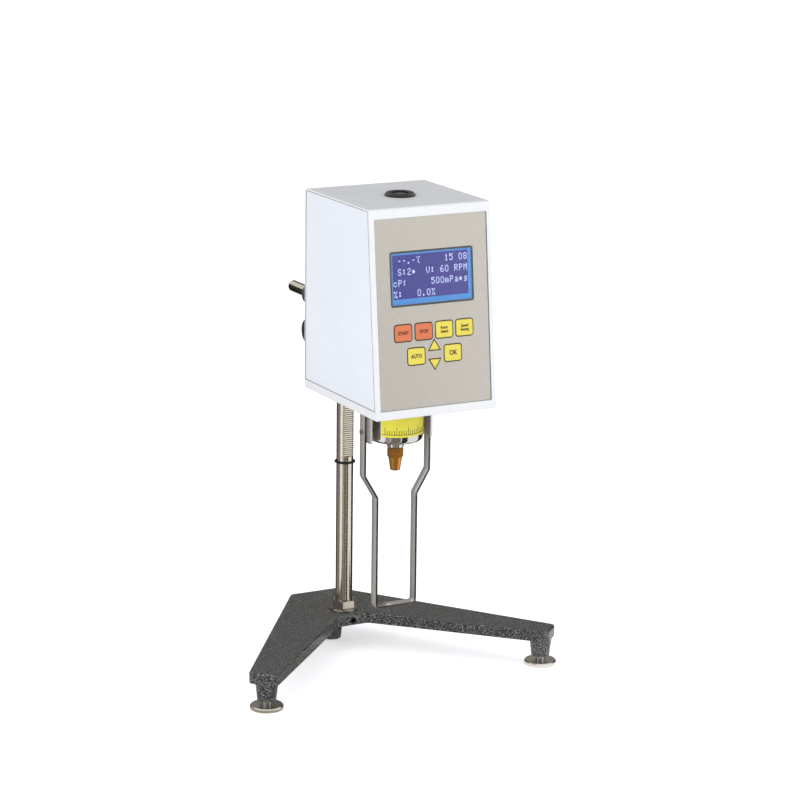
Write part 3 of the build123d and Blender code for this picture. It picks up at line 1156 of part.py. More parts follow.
def power_supply():
    half = SUPPLY_WIDTH / 2
    board_back = (KEY_BOARD_FRONT + BOARD_THICKNESS) / math.cos(LEAN)
    front = HEAD_FRONT_Y + (PLATE_HEIGHT + SUPPLY_HEIGHT) * math.tan(LEAN) + board_back + SUPPLY_GAP
    case = block(-half, half, front, front + SUPPLY_DEPTH, PLATE_TOP_Z, PLATE_TOP_Z + SUPPLY_HEIGHT)
    return chamfer(case.edges().filter_by(Axis.Z), SUPPLY_CORNER)


def sensor_board():
    half = SENSOR_BOARD_WIDTH / 2
    top = DRIVE_DISC_Z + SENSOR_SIZE
    x = SENSOR_BOARD_X
    board = block(x, x + BOARD_THICKNESS, SPINDLE_Y - half, SPINDLE_Y + half, PLATE_TOP_Z, top)
    pieces = [board]
    for disc_z in (TORQUE_DISC_Z, DRIVE_DISC_Z):
        middle = disc_z + DISC_THICKNESS / 2
        tip = DISC_RADIUS - SENSOR_OVERLAP
        body = Pos((tip + x) / 2, SPINDLE_Y, middle) * Box(x - tip, SENSOR_SIZE, SENSOR_SIZE)
        slot_end = DISC_RADIUS + SENSOR_CLEARANCE
        slot = Pos((tip + slot_end) / 2, SPINDLE_Y, middle) * Box(slot_end - tip, SENSOR_SIZE, SENSOR_SLOT)
        pieces.append(body - slot)
    return Compound(children=pieces)


def arm_screw_seat(side, z):
    """Seat of the screw that holds a guard arm's foot up to the bottom plate."""
    return (side * (GUARD_TOP_WIDTH / 2 - GUARD_STRAP + ARM_FOOT / 2), SPINDLE_Y - ARM_FORWARD, z)


def guard_arms():
    arms = []
    for side in (-1, 1):
        outer = GUARD_TOP_WIDTH / 2 - GUARD_STRAP
        inner = outer - GUARD_STRAP
        y0 = SPINDLE_Y - ARM_FORWARD - ARM_WIDTH / 2
        y1 = y0 + ARM_WIDTH
        arm = block(inner, outer, y0, y1, HEAD_BOTTOM_Z - ARM_DROP, HEAD_BOTTOM_Z)
        arm += block(inner, outer + ARM_FOOT, y0, y1, HEAD_BOTTOM_Z - GUARD_STRAP, HEAD_BOTTOM_Z)
        seat = arm_screw_seat(1, HEAD_BOTTOM_Z - GUARD_STRAP)
        arm -= screw_hole(seat, (0, 0, 1), SCREW_RADIUS + CLOSE_GAP, GUARD_STRAP)
        arm -= along_x(SCREW_RADIUS + CLOSE_GAP, inner, outer, SPINDLE_Y, GUARD_SCREW_Z)
        arms.append(arm if side > 0 else mirror(arm, Plane.YZ))
    return Compound(children=arms)


def guard():
    """Bent strap: two legs with a joggle and a cross bar, seen from the front."""
    top = GUARD_TOP_WIDTH / 2
    low = GUARD_LOWER_WIDTH / 2
    levels = [
        (top, HEAD_BOTTOM_Z - GUARD_TOP_GAP),
        (top, HEAD_BOTTOM_Z - GUARD_BEND_TOP),
        (low, HEAD_BOTTOM_Z - GUARD_BEND_BOTTOM),
        (low, GUARD_BOTTOM_Z),
    ]
    centre = [(x - GUARD_STRAP / 2, z) for x, z in levels[:3]]
    centre.append((low - GUARD_STRAP / 2, GUARD_BOTTOM_Z + GUARD_STRAP / 2))
    path = [(x, 0, z) for x, z in centre] + [(-x, 0, z) for x, z in reversed(centre)]
    line = FilletPolyline(*path, radius=GUARD_BEND_RADIUS)
    section = Plane(origin=path[0], z_dir=(0, 0, -1), x_dir=(1, 0, 0)) * Rectangle(GUARD_STRAP, GUARD_DEPTH)
    strap = sweep(section, path=line)
    strap = Pos(0, SPINDLE_Y, 0) * strap
    for side in (-1, 1):
        x0 = side * top if side < 0 else top - GUARD_STRAP
        strap -= along_x(SCREW_RADIUS + CLOSE_GAP, x0, x0 + GUARD_STRAP, SPINDLE_Y, GUARD_SCREW_Z)
    return strap


def guard_screws():
    screws = []
    for side in (-1, 1):
        seat = (side * GUARD_TOP_WIDTH / 2, SPINDLE_Y, GUARD_SCREW_Z)
        screws.append(machine_screw(seat, (-side, 0, 0), GUARD_SCREW_LENGTH))
        foot = arm_screw_seat(side, HEAD_BOTTOM_Z - GUARD_STRAP)
        screws.append(machine_screw(foot, (0, 0, 1), GUARD_SCREW_LENGTH))
    return Compound(children=screws)


def parts():
    """Every piece by name."""
    pieces = {
        "base_casting": base_casting(),
        "column": column(),
        "column_washer": column_washer(),
        "column_nut": column_nut(),
        "stop_ring": stop_ring(),
        "column_set_screw": column_set_screw(),
        "clamp_block": clamp_block(),
        "tension_screw": tension_screw(),
        "lift_pinion": lift_pinion(),
        "lift_knob": lift_knob(),
        "handle_screw": handle_screw(),
        "handle_rod": handle_rod(),
        "rod_nut": rod_nut(),
        "bottom_plate": bottom_plate(),
        "cover": cover(),
        "left_side_panel": side_panel(-1),
        "right_side_panel": side_panel(1),
        "cover_screws": cover_screws(),
        "front_panel": front_panel(),
        "display_lens": display_lens(),
        "display_module": display_module(),
        "key_board": key_board(),
        "bubble_bezel": bubble_bezel(),
        "bubble_vial": bubble_vial(),
        "frame_posts": frame_posts(),
        "motor_plate": motor_plate(),
        "motor": motor(),
        "main_board": main_board(),
        "power_supply": power_supply(),
        "power_inlet": power_inlet(),
        "switch_body": switch_body(),
        "rocker": rocker(),
        "bearing_cup": bearing_cup(),
        "cup_band": cup_band(),
        "shaft_bearings": shaft_bearings(),
        "sensor_board": sensor_board(),
        "guard_arms": guard_arms(),
        "guard": guard(),
        "guard_screws": guard_screws(),
        "motor_pinion": motor_pinion(),
        "drive_shaft": drive_shaft(),
        "drive_gear": drive_gear(),
        "drive_disc": drive_disc(),
        "hairspring": hairspring(),
        "pivot_shaft": pivot_shaft(),
        "torque_disc": torque_disc(),
        "spindle_connector": spindle_connector(),
    }
    for side, word in ((-1, "left"), (1, "right")):
        pieces[f"{word}_foot_stud"] = foot_stud(side)
        pieces[f"{word}_foot_disc"] = foot_disc(side)
    for key in key_list():
        pieces[key[0]] = key_piece(key)
    return pieces


os.makedirs("parts", exist_ok=True)
for name, shape in parts().items():
    export_step(shape, f"parts/{name}.step")
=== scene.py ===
"""Looks of a rotational viscometer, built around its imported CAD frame.

The measuring head, its stand and its wire guard keep the frame's solids wherever their shape is
right. Keys, display, level, cup, guard and rear fittings get finer meshes here. Sizes are fields
in millimetres; Blender works in metres.
"""

import json
import logging
import math
from dataclasses import dataclass, field
from enum import Enum

import bmesh
import bpy
from bmesh.types import BMesh, BMFace, BMVert
from mathutils import Matrix, Vector

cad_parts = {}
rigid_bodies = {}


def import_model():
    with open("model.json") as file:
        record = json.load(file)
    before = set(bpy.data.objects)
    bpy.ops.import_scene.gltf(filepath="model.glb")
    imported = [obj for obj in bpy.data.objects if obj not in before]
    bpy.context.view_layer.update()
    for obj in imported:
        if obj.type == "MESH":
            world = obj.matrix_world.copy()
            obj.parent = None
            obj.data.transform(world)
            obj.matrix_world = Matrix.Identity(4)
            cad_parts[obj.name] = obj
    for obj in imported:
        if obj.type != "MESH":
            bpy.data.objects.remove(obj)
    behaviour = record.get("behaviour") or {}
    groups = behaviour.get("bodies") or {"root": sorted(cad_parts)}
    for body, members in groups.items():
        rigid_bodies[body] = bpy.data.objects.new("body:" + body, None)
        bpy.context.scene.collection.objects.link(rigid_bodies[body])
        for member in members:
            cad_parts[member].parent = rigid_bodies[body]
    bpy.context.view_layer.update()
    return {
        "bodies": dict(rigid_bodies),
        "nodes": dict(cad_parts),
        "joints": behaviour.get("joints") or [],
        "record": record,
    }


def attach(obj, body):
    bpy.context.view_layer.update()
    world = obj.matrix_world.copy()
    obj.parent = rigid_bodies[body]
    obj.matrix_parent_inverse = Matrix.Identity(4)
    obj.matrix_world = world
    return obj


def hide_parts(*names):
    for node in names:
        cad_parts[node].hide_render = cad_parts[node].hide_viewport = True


LOG = logging.getLogger("viscometer")
MM = 0.001
Point = tuple[float, float]
Tree = bpy.types.NodeTree
Node = bpy.types.Node
Socket = bpy.types.NodeSocket


class Grain(Enum):
    """Direction in which a metal was brushed, drawn or rolled."""

    ACROSS = (0.04, 1.0, 1.0)
    UPRIGHT = (1.0, 1.0, 0.04)
    ROUND = (0.02, 0.02, 1.0)


def linear(colour: str, alpha: float = 1.0) -> tuple[float, float, float, float]:
    """Turn an sRGB hex colour into the linear values that Blender's shaders take.

    Args:
        colour: Hex colour such as "#C4BFB4".
        alpha: Opacity put in the fourth place.

    Returns:
        Linear red, green, blue and the alpha.
    """
    channels = [int(colour[i : i + 2], 16) / 255 for i in (1, 3, 5)]
    straight = [c / 12.92 if c <= 0.04045 else ((c + 0.055) / 1.055) ** 2.4 for c in channels]
    return straight[0], straight[1], straight[2], alpha


def add_node(
    tree: Tree, kind: str, settings: dict | None = None, links: dict | None = None
) -> Node:
    """Add one shader node with its settings and links.

    Args:
        tree: Node tree that takes the node.
        kind: Blender's node type.
        settings: Input or property name to value.
        links: Input name or number to the output that feeds it.

    Returns:
        The new node.
    """
    node = tree.nodes.new(kind)
    for name, value in (settings or {}).items():
        if isinstance(name, int) or name in node.inputs:
            node.inputs[name].default_value = value
        else:
            setattr(node, name, value)
    for name, source in (links or {}).items():
        tree.links.new(source, node.inputs[name])
    return node


def add_noise(
    tree: Tree, place: Socket, scale: float, detail: float, roughness: float = 0.5
) -> Node:
    """Add a noise pattern.

    Args:
        tree: Node tree that takes it.
        place: Coordinates it is laid out in.
        scale: Features per metre.
        detail: Number of finer layers.
        roughness: Strength of the finer layers.

    Returns:
        The noise node.
    """
    settings = {"Scale": scale, "Detail": detail, "Roughness": roughness}
    return add_node(tree, "ShaderNodeTexNoise", settings, {"Vector": place})


def either(tree: Tree, first: Socket, second: Socket) -> Socket:
    """Return the larger of two shader values."""
    larger = add_node(
        tree, "ShaderNodeMath", {"operation": "MAXIMUM"}, {0: first, 1: second}
    )
    return larger.outputs["Value"]


def blank_material(name: str) -> bpy.types.Material:
    """Return a new material whose node tree is empty."""
    made = bpy.data.materials.new(name)
    made.use_nodes = True
    made.node_tree.nodes.clear()
    return made


def chosen(result: dict, kind: type) -> list:
    """Return the elements of one kind out of what a mesh operator gives back."""
    return [part for part in result["geom"] if isinstance(part, kind)]


@dataclass(frozen=True)
class Finish:
    """A surface finish: the colour, gloss and the fine pattern that its making leaves."""

    name: str
    colour: str
    roughness: float = 0.5
    metallic: float = 0.0
    ior: float = 1.5
    coat: float = 0.0

    def material(self) -> bpy.types.Material:
        """Return this finish's material, built the first time it is asked for."""
        known = bpy.data.materials.get(self.name)
        if known:
            return known
        made = blank_material(self.name)
        tree = made.node_tree
        shader = add_node(
            tree,
            "ShaderNodeBsdfPrincipled",
            {
                "Base Color": linear(self.colour),
                "Roughness": self.roughness,
                "Metallic": self.metallic,
                "IOR": self.ior,
                "Coat Weight": self.coat,
            },
        )
        add_node(tree, "ShaderNodeOutputMaterial", links={"Surface": shader.outputs["BSDF"]})
        place = add_node(tree, "ShaderNodeTexCoord")
        self.dress(tree, shader, place.outputs["Object"])
        made.diffuse_color = linear(self.colour)
        return made

    def dress(self, tree: Tree, shader: Node, place: Socket) -> None:
        """Add the pattern of this finish; a plain finish has none."""

    def tint(
        self, tree: Tree, shader: Node, factor: Socket, other: str, low: float, high: float
    ) -> None:
        """Vary the colour towards another one by a pattern.

        Args:
            tree: Material's node tree.
            shader: Shader whose colour varies.
            factor: Pattern that drives the variation.
            other: Hex colour at the pattern's high end.
            low: Pattern value that still has the main colour.
            high: Pattern value that has the other colour.
        """
        ramp = add_node(tree, "ShaderNodeValToRGB", links={0: factor})
        ramp.color_ramp.elements[0].position = low
        ramp.color_ramp.elements[0].color = linear(self.colour)
        ramp.color_ramp.elements[1].position = high
        ramp.color_ramp.elements[1].color = linear(other)
        tree.links.new(ramp.outputs["Color"], shader.inputs["Base Color"])

    def relief(
        self, tree: Tree, shader: Node, height: Socket, depth_mm: float, strength: float = 1.0
    ) -> None:
        """Raise the surface by a pattern.

        Args:
            tree: Material's node tree.
            shader: Shader that takes the relief.
            height: Pattern read as height.
            depth_mm: Height of the pattern in millimetres.
            strength: Share of the relief that shows.
        """
        bump = add_node(
            tree,
            "ShaderNodeBump",
            {"Distance": depth_mm * MM, "Strength": strength},
            {"Height": height},
        )
        tree.links.new(bump.outputs["Normal"], shader.inputs["Normal"])

    def gloss(self, tree: Tree, shader: Node, factor: Socket, spread: float) -> None:
        """Vary the roughness about its value by a pattern, up and down by the spread."""
        band = add_node(
            tree,
            "ShaderNodeMapRange",
            {"To Min": self.roughness - spread, "To Max": self.roughness + spread},
            {"Value": factor},
        )
        tree.links.new(band.outputs["Result"], shader.inputs["Roughness"])


@dataclass(frozen=True)
class PowderCoat(Finish):
    """Polyester powder baked on sheet metal: an even satin with a faint orange peel."""

    peel_mm: float = 1.6
    shade: str = "#E4E6E8"

    def dress(self, tree: Tree, shader: Node, place: Socket) -> None:
        """Add orange peel, a soft drift of tone and uneven gloss."""
        peel = add_noise(tree, place, 1 / (self.peel_mm * MM), 2.0)
        drift = add_noise(tree, place, 9.0, 3.0)
        self.tint(tree, shader, drift.outputs["Fac"], self.shade, 0.4, 0.75)
        self.gloss(tree, shader, peel.outputs["Fac"], 0.05)
        self.relief(tree, shader, peel.outputs["Fac"], 0.02)


@dataclass(frozen=True)
class HammertoneEnamel(Finish):
    """Hammertone enamel on rough cast iron: dark and glossy, with grey flecks between dimples."""

    dimple_mm: float = 1.1
    warp_mm: float = 2.2
    fleck: str = "#8A8986"

    def dress(self, tree: Tree, shader: Node, place: Socket) -> None:
        """Add dimples, light flecks along their rims, and the gloss that pools in them."""
        warp = add_noise(tree, place, 0.7 / (self.dimple_mm * MM), 3.0)
        shift = add_node(
            tree,
            "ShaderNodeVectorMath",
            {"operation": "MULTIPLY_ADD", 1: (self.warp_mm * MM,) * 3},
            {0: warp.outputs["Color"], 2: place},
        )
        cells = add_node(
            tree,
            "ShaderNodeTexVoronoi",
            {"feature": "SMOOTH_F1", "Scale": 1 / (self.dimple_mm * MM), "Smoothness": 0.35},
            {"Vector": shift.outputs["Vector"]},
        )
        grit = add_noise(tree, place, 2.2 / (self.dimple_mm * MM), 4.0, 0.7)
        mix = add_node(
            tree,
            "ShaderNodeMath",
            {"operation": "MULTIPLY"},
            {0: cells.outputs["Distance"], 1: grit.outputs["Fac"]},
        )
        self.tint(tree, shader, mix.outputs["Value"], self.fleck, 0.22, 0.42)
        self.gloss(tree, shader, grit.outputs["Fac"], 0.12)
        self.relief(tree, shader, cells.outputs["Distance"], 0.11, 0.6)


@dataclass(frozen=True)
class BrushedMetal(Finish):
    """Metal with fine parallel lines from a belt, a roll or a lathe."""

    metallic: float = 1.0
    line_mm: float = 0.35
    grain: Grain = Grain.ROUND
    dark: str = "#8C8880"
    spread: float = 0.08

    def dress(self, tree: Tree, shader: Node, place: Socket) -> None:
        """Add lines along the grain, drawn coarse enough to show, and a slow drift of tone."""
        stretch = add_node(
            tree, "ShaderNodeMapping", {"Scale": self.grain.value}, {"Vector": place}
        )
        lines = add_noise(tree, stretch.outputs["Vector"], 1 / (self.line_mm * MM), 3.0, 0.6)
        self.tint(tree, shader, lines.outputs["Fac"], self.dark, 0.45, 0.8)
        self.gloss(tree, shader, lines.outputs["Fac"], self.spread)
        self.relief(tree, shader, lines.outputs["Fac"], 0.004)


@dataclass(frozen=True)
class MouldedPlastic(Finish):
    """Injection moulded plastic: a fine spark-eroded texture and slightly uneven gloss."""

    grit_mm: float = 0.5
    shade: str = "#303032"

    def dress(self, tree: Tree, shader: Node, place: Socket) -> None:
        """Add the mould's texture and faint handling marks."""
        grit = add_noise(tree, place, 1 / (self.grit_mm * MM), 2.0)
        wear = add_noise(tree, place, 120.0, 4.0)
        self.tint(tree, shader, wear.outputs["Fac"], self.shade, 0.5, 0.9)
        self.gloss(tree, shader, wear.outputs["Fac"], 0.06)
        self.relief(tree, shader, grit.outputs["Fac"], 0.01)


@dataclass(frozen=True)
class SolderMask(Finish):
    """Circuit board: glossy green lacquer over copper tracks."""

    track_mm: float = 2.5
    track_colour: str = "#2F7A48"

    def dress(self, tree: Tree, shader: Node, place: Socket) -> None:
        """Add tracks as slightly raised, lighter lines under the lacquer."""
        tracks = add_node(
            tree,
            "ShaderNodeTexBrick",
            {
                "Scale": 0.2 / (self.track_mm * MM),
                "Mortar Size": 0.03,
                "Color1": (0, 0, 0, 1),
                "Color2": (0, 0, 0, 1),
                "Mortar": (1, 1, 1, 1),
            },
            {"Vector": place},
        )
        self.tint(tree, shader, tracks.outputs["Color"], self.track_colour, 0.2, 0.8)
        self.relief(tree, shader, tracks.outputs["Fac"], 0.03)


@dataclass(frozen=True)
class LitPicture(Finish):
    """Backlit liquid crystal: an even glow crossed by a fine grid of dots."""

    glow: float = 0.35
    dot_mm: float = 0.54

    def dress(self, tree: Tree, shader: Node, place: Socket) -> None:
        """Add the backlight and the dot grid."""
        shader.inputs["Emission Color"].default_value = linear(self.colour)
        shader.inputs["Emission Strength"].default_value = self.glow
        dots = add_node(
            tree,
            "ShaderNodeTexBrick",
            {
                "Scale": 0.5 / (self.dot_mm * MM),
                "Mortar Size": 0.02,
                "offset": 0.0,
                "Color1": (1, 1, 1, 1),
                "Color2": (1, 1, 1, 1),
                "Mortar": (0, 0, 0, 1),
            },
            {"Vector": place},
        )
        self.relief(tree, shader, dots.outputs["Color"], 0.004)


@dataclass(frozen=True)
class ClearPane(Finish):
    """Clear acrylic or glass, thin enough to look straight through, with a bright skin."""

    alpha: float = 0.1

    def dress(self, tree: Tree, shader: Node, place: Socket) -> None:
        """Let light through and add faint smears to the gloss."""
        shader.inputs["Alpha"].default_value = self.alpha
        smear = add_noise(tree, place, 60.0, 3.0)
        self.gloss(tree, shader, smear.outputs["Fac"], 0.03)


# Finishes, named for the real material and how its surface was made; where one also paints light,
# its name says so
WHITE_POWDER = PowderCoat("white powder coated steel", "#F1F1F0", 0.38, shade="#E9EAEB")
# Painted light: the side panels carry the cover's white powder coat, tinted cooler as a lit copy
# where the cool light falls on them.
SIDE_COOL_LIT_POWDER = PowderCoat("white powder coated steel with painted cool light", "#F0F3F8", 0.35, shade="#E8ECF3")
CAST_ENAMEL = HammertoneEnamel("hammertone enamel on cast iron", "#161718", 0.36, coat=0.1)
GREY_ENAMEL = PowderCoat("grey powder coated aluminium", "#4A4C50", 0.45, shade="#3E4044")
GROUND_STEEL = BrushedMetal("ground stainless rod", "#C6BFB2", 0.16, dark="#B4ADA0", spread=0.03)
PLATED_STEEL = BrushedMetal(
    "bright nickel plated steel", "#B4AC9E", 0.16, dark="#9A9284", spread=0.04
)
FOOT_STEEL = BrushedMetal("turned stainless foot", "#DAD5CC", 0.22, dark="#BEB8AE", spread=0.05)
OXIDE_STEEL = BrushedMetal("black oxide steel", "#2C2D2F", 0.4, dark="#232426")
ZINC_STEEL = BrushedMetal("zinc plated steel", "#B8B8BA", 0.3, dark="#9A9A9E")
STRAP_STEEL = BrushedMetal(
    "rolled stainless strap", "#DEDCD8", 0.3, 0.72, grain=Grain.UPRIGHT, dark="#C6C3BE"
)
SLIT_EDGE = BrushedMetal(
    "slit edge of stainless strap", "#6E6B66", 0.45, grain=Grain.UPRIGHT, dark="#524F4A"
)
POLISHED_CUP = BrushedMetal(
    "polished and turned stainless", "#C6C4C0", 0.12, dark="#A9A7A3", spread=0.04
)
TURNED_BRASS = BrushedMetal("turned brass", "#C48A3C", 0.22, 0.78, dark="#9A642A", spread=0.05)
CUT_BRASS = BrushedMetal("hobbed brass", "#C09A50", 0.3, dark="#94723A")
SINTERED_BRONZE = BrushedMetal("sintered bronze", "#A87B45", 0.5, dark="#7E5A32")
SATIN_ALUMINIUM = BrushedMetal(
    "satin anodised aluminium", "#C3C5C8", 0.35, grain=Grain.ACROSS, dark="#A5A8AC"
)
DRAWN_CAN = BrushedMetal(
    "drawn galvanised can", "#A9ABAE", 0.4, grain=Grain.UPRIGHT, dark="#8D9094"
)
BLUED_SPRING = BrushedMetal("blued spring steel", "#4A5578", 0.3, dark="#363F5C")
PANEL_STEEL = BrushedMetal(
    "satin stainless fascia",
    "#C8C3B8",
    0.42,
    0.25,
    grain=Grain.UPRIGHT,
    dark="#BDB7AB",
    line_mm=0.5,
)
DARK_PLASTIC = MouldedPlastic("dark grey moulded nylon", "#2F3033", 0.45)
BLACK_ABS = MouldedPlastic("black moulded ABS", "#17181A", 0.35, shade="#232426")
SOFT_RUBBER = MouldedPlastic("black moulded rubber", "#141414", 0.7, shade="#1E1E1E", grit_mm=0.8)
ORANGE_KEY = MouldedPlastic("orange embossed polyester", "#DE7C52", 0.42, shade="#D37248")
YELLOW_KEY = MouldedPlastic("yellow embossed polyester", "#EBDA5A", 0.42, shade="#E3D150")
YELLOW_FILM = MouldedPlastic("yellow vinyl film", "#E9DE48", 0.4, shade="#DDD13C")
# Dark seam lines round the side panels; the same finish is the painted shadow along the fascia's
# right and bottom edges.
SEAM_AND_SHADOW_LINE = MouldedPlastic("grey seam line and painted shadow line", "#6A6C70", 0.6, shade="#5E6064")
DARK_INK = MouldedPlastic("dark screen print ink", "#30281E", 0.55, shade="#2A231A")
BLACK_INK = MouldedPlastic("black screen print ink", "#1D1E21", 0.4, shade="#26272A")
WHITE_INK = MouldedPlastic("white screen print ink", "#E8E8E6", 0.5, shade="#DCDCDA")
BOARD_GREEN = SolderMask("green solder mask", "#12502A", 0.25, coat=0.3)
PICTURE_EDGE = LitPicture("backlit display border", "#2E80C8", 0.25, glow=0.14)
PICTURE_FIELD = LitPicture("backlit display field", "#1B1580", 0.25, glow=0.12)
PICTURE_DOTS = LitPicture("clear display dots", "#C8D6FF", 0.25, glow=0.25)
CLEAR_ACRYLIC = ClearPane("clear acrylic window", "#FFFFFF", 0.08, ior=1.49, alpha=0.04)
LEVEL_GLASS = ClearPane("clear glass vial", "#E8F0E0", 0.05, ior=1.5, alpha=0.25)
LEVEL_FLUID = MouldedPlastic("tinted level fluid", "#3A3D38", 0.15, shade="#4A4E46")


class Piece:
    """One object of the scene, gathered from shaped meshes with their finishes."""

    def __init__(self, name: str, body: str) -> None:
        """Start an empty piece that will ride on a body of the frame."""
        self.name = name
        self.body = body
        self.mesh = bmesh.new()
        self.finishes: list[Finish] = []

    def add(self, form: BMesh, finish: Finish, place: Matrix | None = None) -> None:
        """Put a shaped mesh in the piece.

        Args:
            form: Mesh to take in; it is freed.
            finish: Finish of all its faces.
            place: Transform from the mesh's own axes, in metres.
        """
        if finish not in self.finishes:
            self.finishes.append(finish)
        number = self.finishes.index(finish)
        for face in form.faces:
            face.material_index = number
        if place is not None:
            bmesh.ops.transform(form, matrix=place, verts=form.verts)
        holder = bpy.data.meshes.new("holder")
        form.to_mesh(holder)
        form.free()
        self.mesh.from_mesh(holder)
        bpy.data.meshes.remove(holder)

    def repaint(self, finish: Finish, axis: Vector, within_deg: float) -> None:
        """Give another finish to the faces that look along an axis, either way.

        Args:
            finish: Finish they take.
            axis: Direction that they look along.
            within_deg: Angle that they may be off it.
        """
        self.finishes.append(finish)
        self.mesh.normal_update()
        for face in self.mesh.faces:
            if abs(face.normal.dot(axis)) > math.cos(math.radians(within_deg)):
                face.material_index = len(self.finishes) - 1

    def build(self, replaces: tuple[str, ...] = (), sharp_deg: float = 32.0) -> bpy.types.Object:
        """Make the object and hang it on its body.

        Args:
            replaces: CAD nodes that this piece stands for.
            sharp_deg: Edges that turn by more than this stay sharp.

        Returns:
            The finished object.
        """
        data = bpy.data.meshes.new(self.name)
        self.mesh.to_mesh(data)
        self.mesh.free()
        for finish in self.finishes:
            data.materials.append(finish.material())
        data.shade_smooth()
        data.set_sharp_from_angle(angle=math.radians(sharp_deg))
        piece = bpy.data.objects.new(self.name, data)
        bpy.context.scene.collection.objects.link(piece)
        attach(piece, self.body)
        if replaces:
            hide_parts(*replaces)
        LOG.info("piece %s: %d faces on %s", self.name, len(data.polygons), self.body)
        return piece


def moved(x: float, y: float, z: float) -> Matrix:
    """Return a shift given in millimetres."""
    return Matrix.Translation((x * MM, y * MM, z * MM))


def rounded_plate(
    width: float, height: float, depth: float, corner: float = 0.0, edge: float = 0.0
) -> BMesh:
    """Shape a plate whose outer face lies on the XY plane, with its back below it.

    Args:
        width: Size along X in millimetres.
        height: Size along Y.
        depth: Thickness.
        corner: Radius of the four corners seen from outside.
        edge: Rounding of the outer face's rim.

    Returns:
        The closed plate.
    """
    form = bmesh.new()
    bmesh.ops.create_grid(form, x_segments=1, y_segments=1, size=0.5)
    bmesh.ops.scale(form, vec=(width * MM, height * MM, 1.0), verts=form.verts)
    if corner:
        bmesh.ops.bevel(
            form,
            geom=form.verts[:],
            offset=corner * MM,
            offset_type="OFFSET",
            segments=6,
            profile=0.5,
            affect="VERTICES",
            material=-1,
        )
    return thickened(form, depth, edge)


def thickened(form: BMesh, depth: float, edge: float = 0.0) -> BMesh:
    """Give flat faces on the XY plane a thickness downwards and round their rim.

    Args:
        form: Flat faces.
        depth: Thickness in millimetres.
        edge: Rounding of the upper rim.

    Returns:
        The same mesh, closed.
    """
    grown = bmesh.ops.extrude_face_region(form, geom=form.faces[:], use_keep_orig=True)
    lower = chosen(grown, BMVert)
    bmesh.ops.translate(form, vec=(0.0, 0.0, -depth * MM), verts=lower)
    bmesh.ops.recalc_face_normals(form, faces=form.faces)
    if edge:
        top = [e for e in form.edges if all(abs(v.co.z) < 1e-9 for v in e.verts)]
        rim = [e for e in top if any(abs(f.normal.z) < 0.5 for f in e.link_faces)]
        bmesh.ops.bevel(
            form, geom=rim, offset=edge * MM, segments=3, profile=0.5, affect="EDGES", material=-1
        )
    return form


def turned(profile: list[Point], steps: int = 64, closed: bool = False) -> BMesh:
    """Turn a profile about Z, as on a lathe.

    Args:
        profile: Radius and height of each point in millimetres.
        steps: Divisions of the full turn.
        closed: Whether the profile is a loop, as for a ring.

    Returns:
        The turned mesh.
    """
    form = bmesh.new()
    verts = [form.verts.new((radius * MM, 0.0, height * MM)) for radius, height in profile]
    pairs = list(zip(verts, verts[1:]))
    if closed:
        pairs.append((verts[-1], verts[0]))
    edges = [form.edges.new(pair) for pair in pairs]
    bmesh.ops.spin(
        form,
        geom=verts + edges,
        cent=(0.0, 0.0, 0.0),
        axis=(0.0, 0.0, 1.0),
        angle=math.tau,
        steps=steps,
        use_merge=True,
    )
    bmesh.ops.remove_doubles(form, verts=form.verts, dist=1e-7)
    bmesh.ops.recalc_face_normals(form, faces=form.faces)
    return form


def rounded(
    radius: float, height: float, centre: Point, start: float, end: float, steps: int
) -> list[Point]:
    """Return points of a rounded corner in a lathe profile.

    Args:
        radius: Corner radius across, in millimetres.
        height: Corner radius along.
        centre: Radius and height of the corner's centre.
        start: Start angle in degrees, 0 outwards and 90 up.
        end: End angle in degrees.
        steps: Divisions of the corner.

    Returns:
        Radius and height of each point.
    """
    angles = [math.radians(start + (end - start) * i / steps) for i in range(steps + 1)]
    return [(centre[0] + radius * math.cos(a), centre[1] + height * math.sin(a)) for a in angles]


def lettering(words: str, height: float, width: float = 1.0) -> BMesh:
    """Shape plain words, centred on the XY plane and a hair thick.

    Args:
        words: Text, with line breaks.
        height: Capital height in millimetres.
        width: Stretch of the letters across.

    Returns:
        The words as a mesh.
    """
    curve = bpy.data.curves.new("words", "FONT")
    curve.body = words
    curve.size = height * MM / 0.7
    curve.align_x = "CENTER"
    curve.align_y = "CENTER"
    curve.extrude = 0.03 * MM
    curve.offset = 0.05 * height * MM
    curve.resolution_u = 3
    holder = bpy.data.objects.new("words", curve)
    bpy.context.scene.collection.objects.link(holder)
    bpy.context.view_layer.update()
    seen = holder.evaluated_get(bpy.context.evaluated_depsgraph_get())
    data = bpy.data.meshes.new_from_object(seen)
    form = bmesh.new()
    form.from_mesh(data)
    bmesh.ops.scale(form, vec=(width, 1.0, 1.0), verts=form.verts)
    bpy.data.objects.remove(holder)
    bpy.data.meshes.remove(data)
    bpy.data.curves.remove(curve)
    return form


@dataclass(frozen=True)
class SlopingFront:
    """Where the sloping front face of the head lies, in millimetres."""

    top_z: float = 422.0
    top_y: float = -96.45
    depth_bottom: float = 134.0
    depth_top: float = 117.0
    height: float = 172.0

    def place(self, across: float, down: float, out: float) -> Matrix:
        """Return the transform from a face-on drawing to a spot on the front.

        Args:
            across: Distance right of the middle, in millimetres.
            down: Distance down the slope from its top edge.
            out: Distance out of the face.

        Returns:
            Transform whose Z axis points out of the face.
        """
        lean = math.atan2(self.depth_bottom - self.depth_top, self.height)
        up = Vector((0.0, math.sin(lean), math.cos(lean)))
        outward = Vector((0.0, -math.cos(lean), math.sin(lean)))
        spot = Vector((across, self.top_y, self.top_z)) - up * down + outward * out
        turn = Matrix((Vector((1.0, 0.0, 0.0)), up, outward)).transposed().to_4x4()
        return Matrix.Translation(spot * MM) @ turn


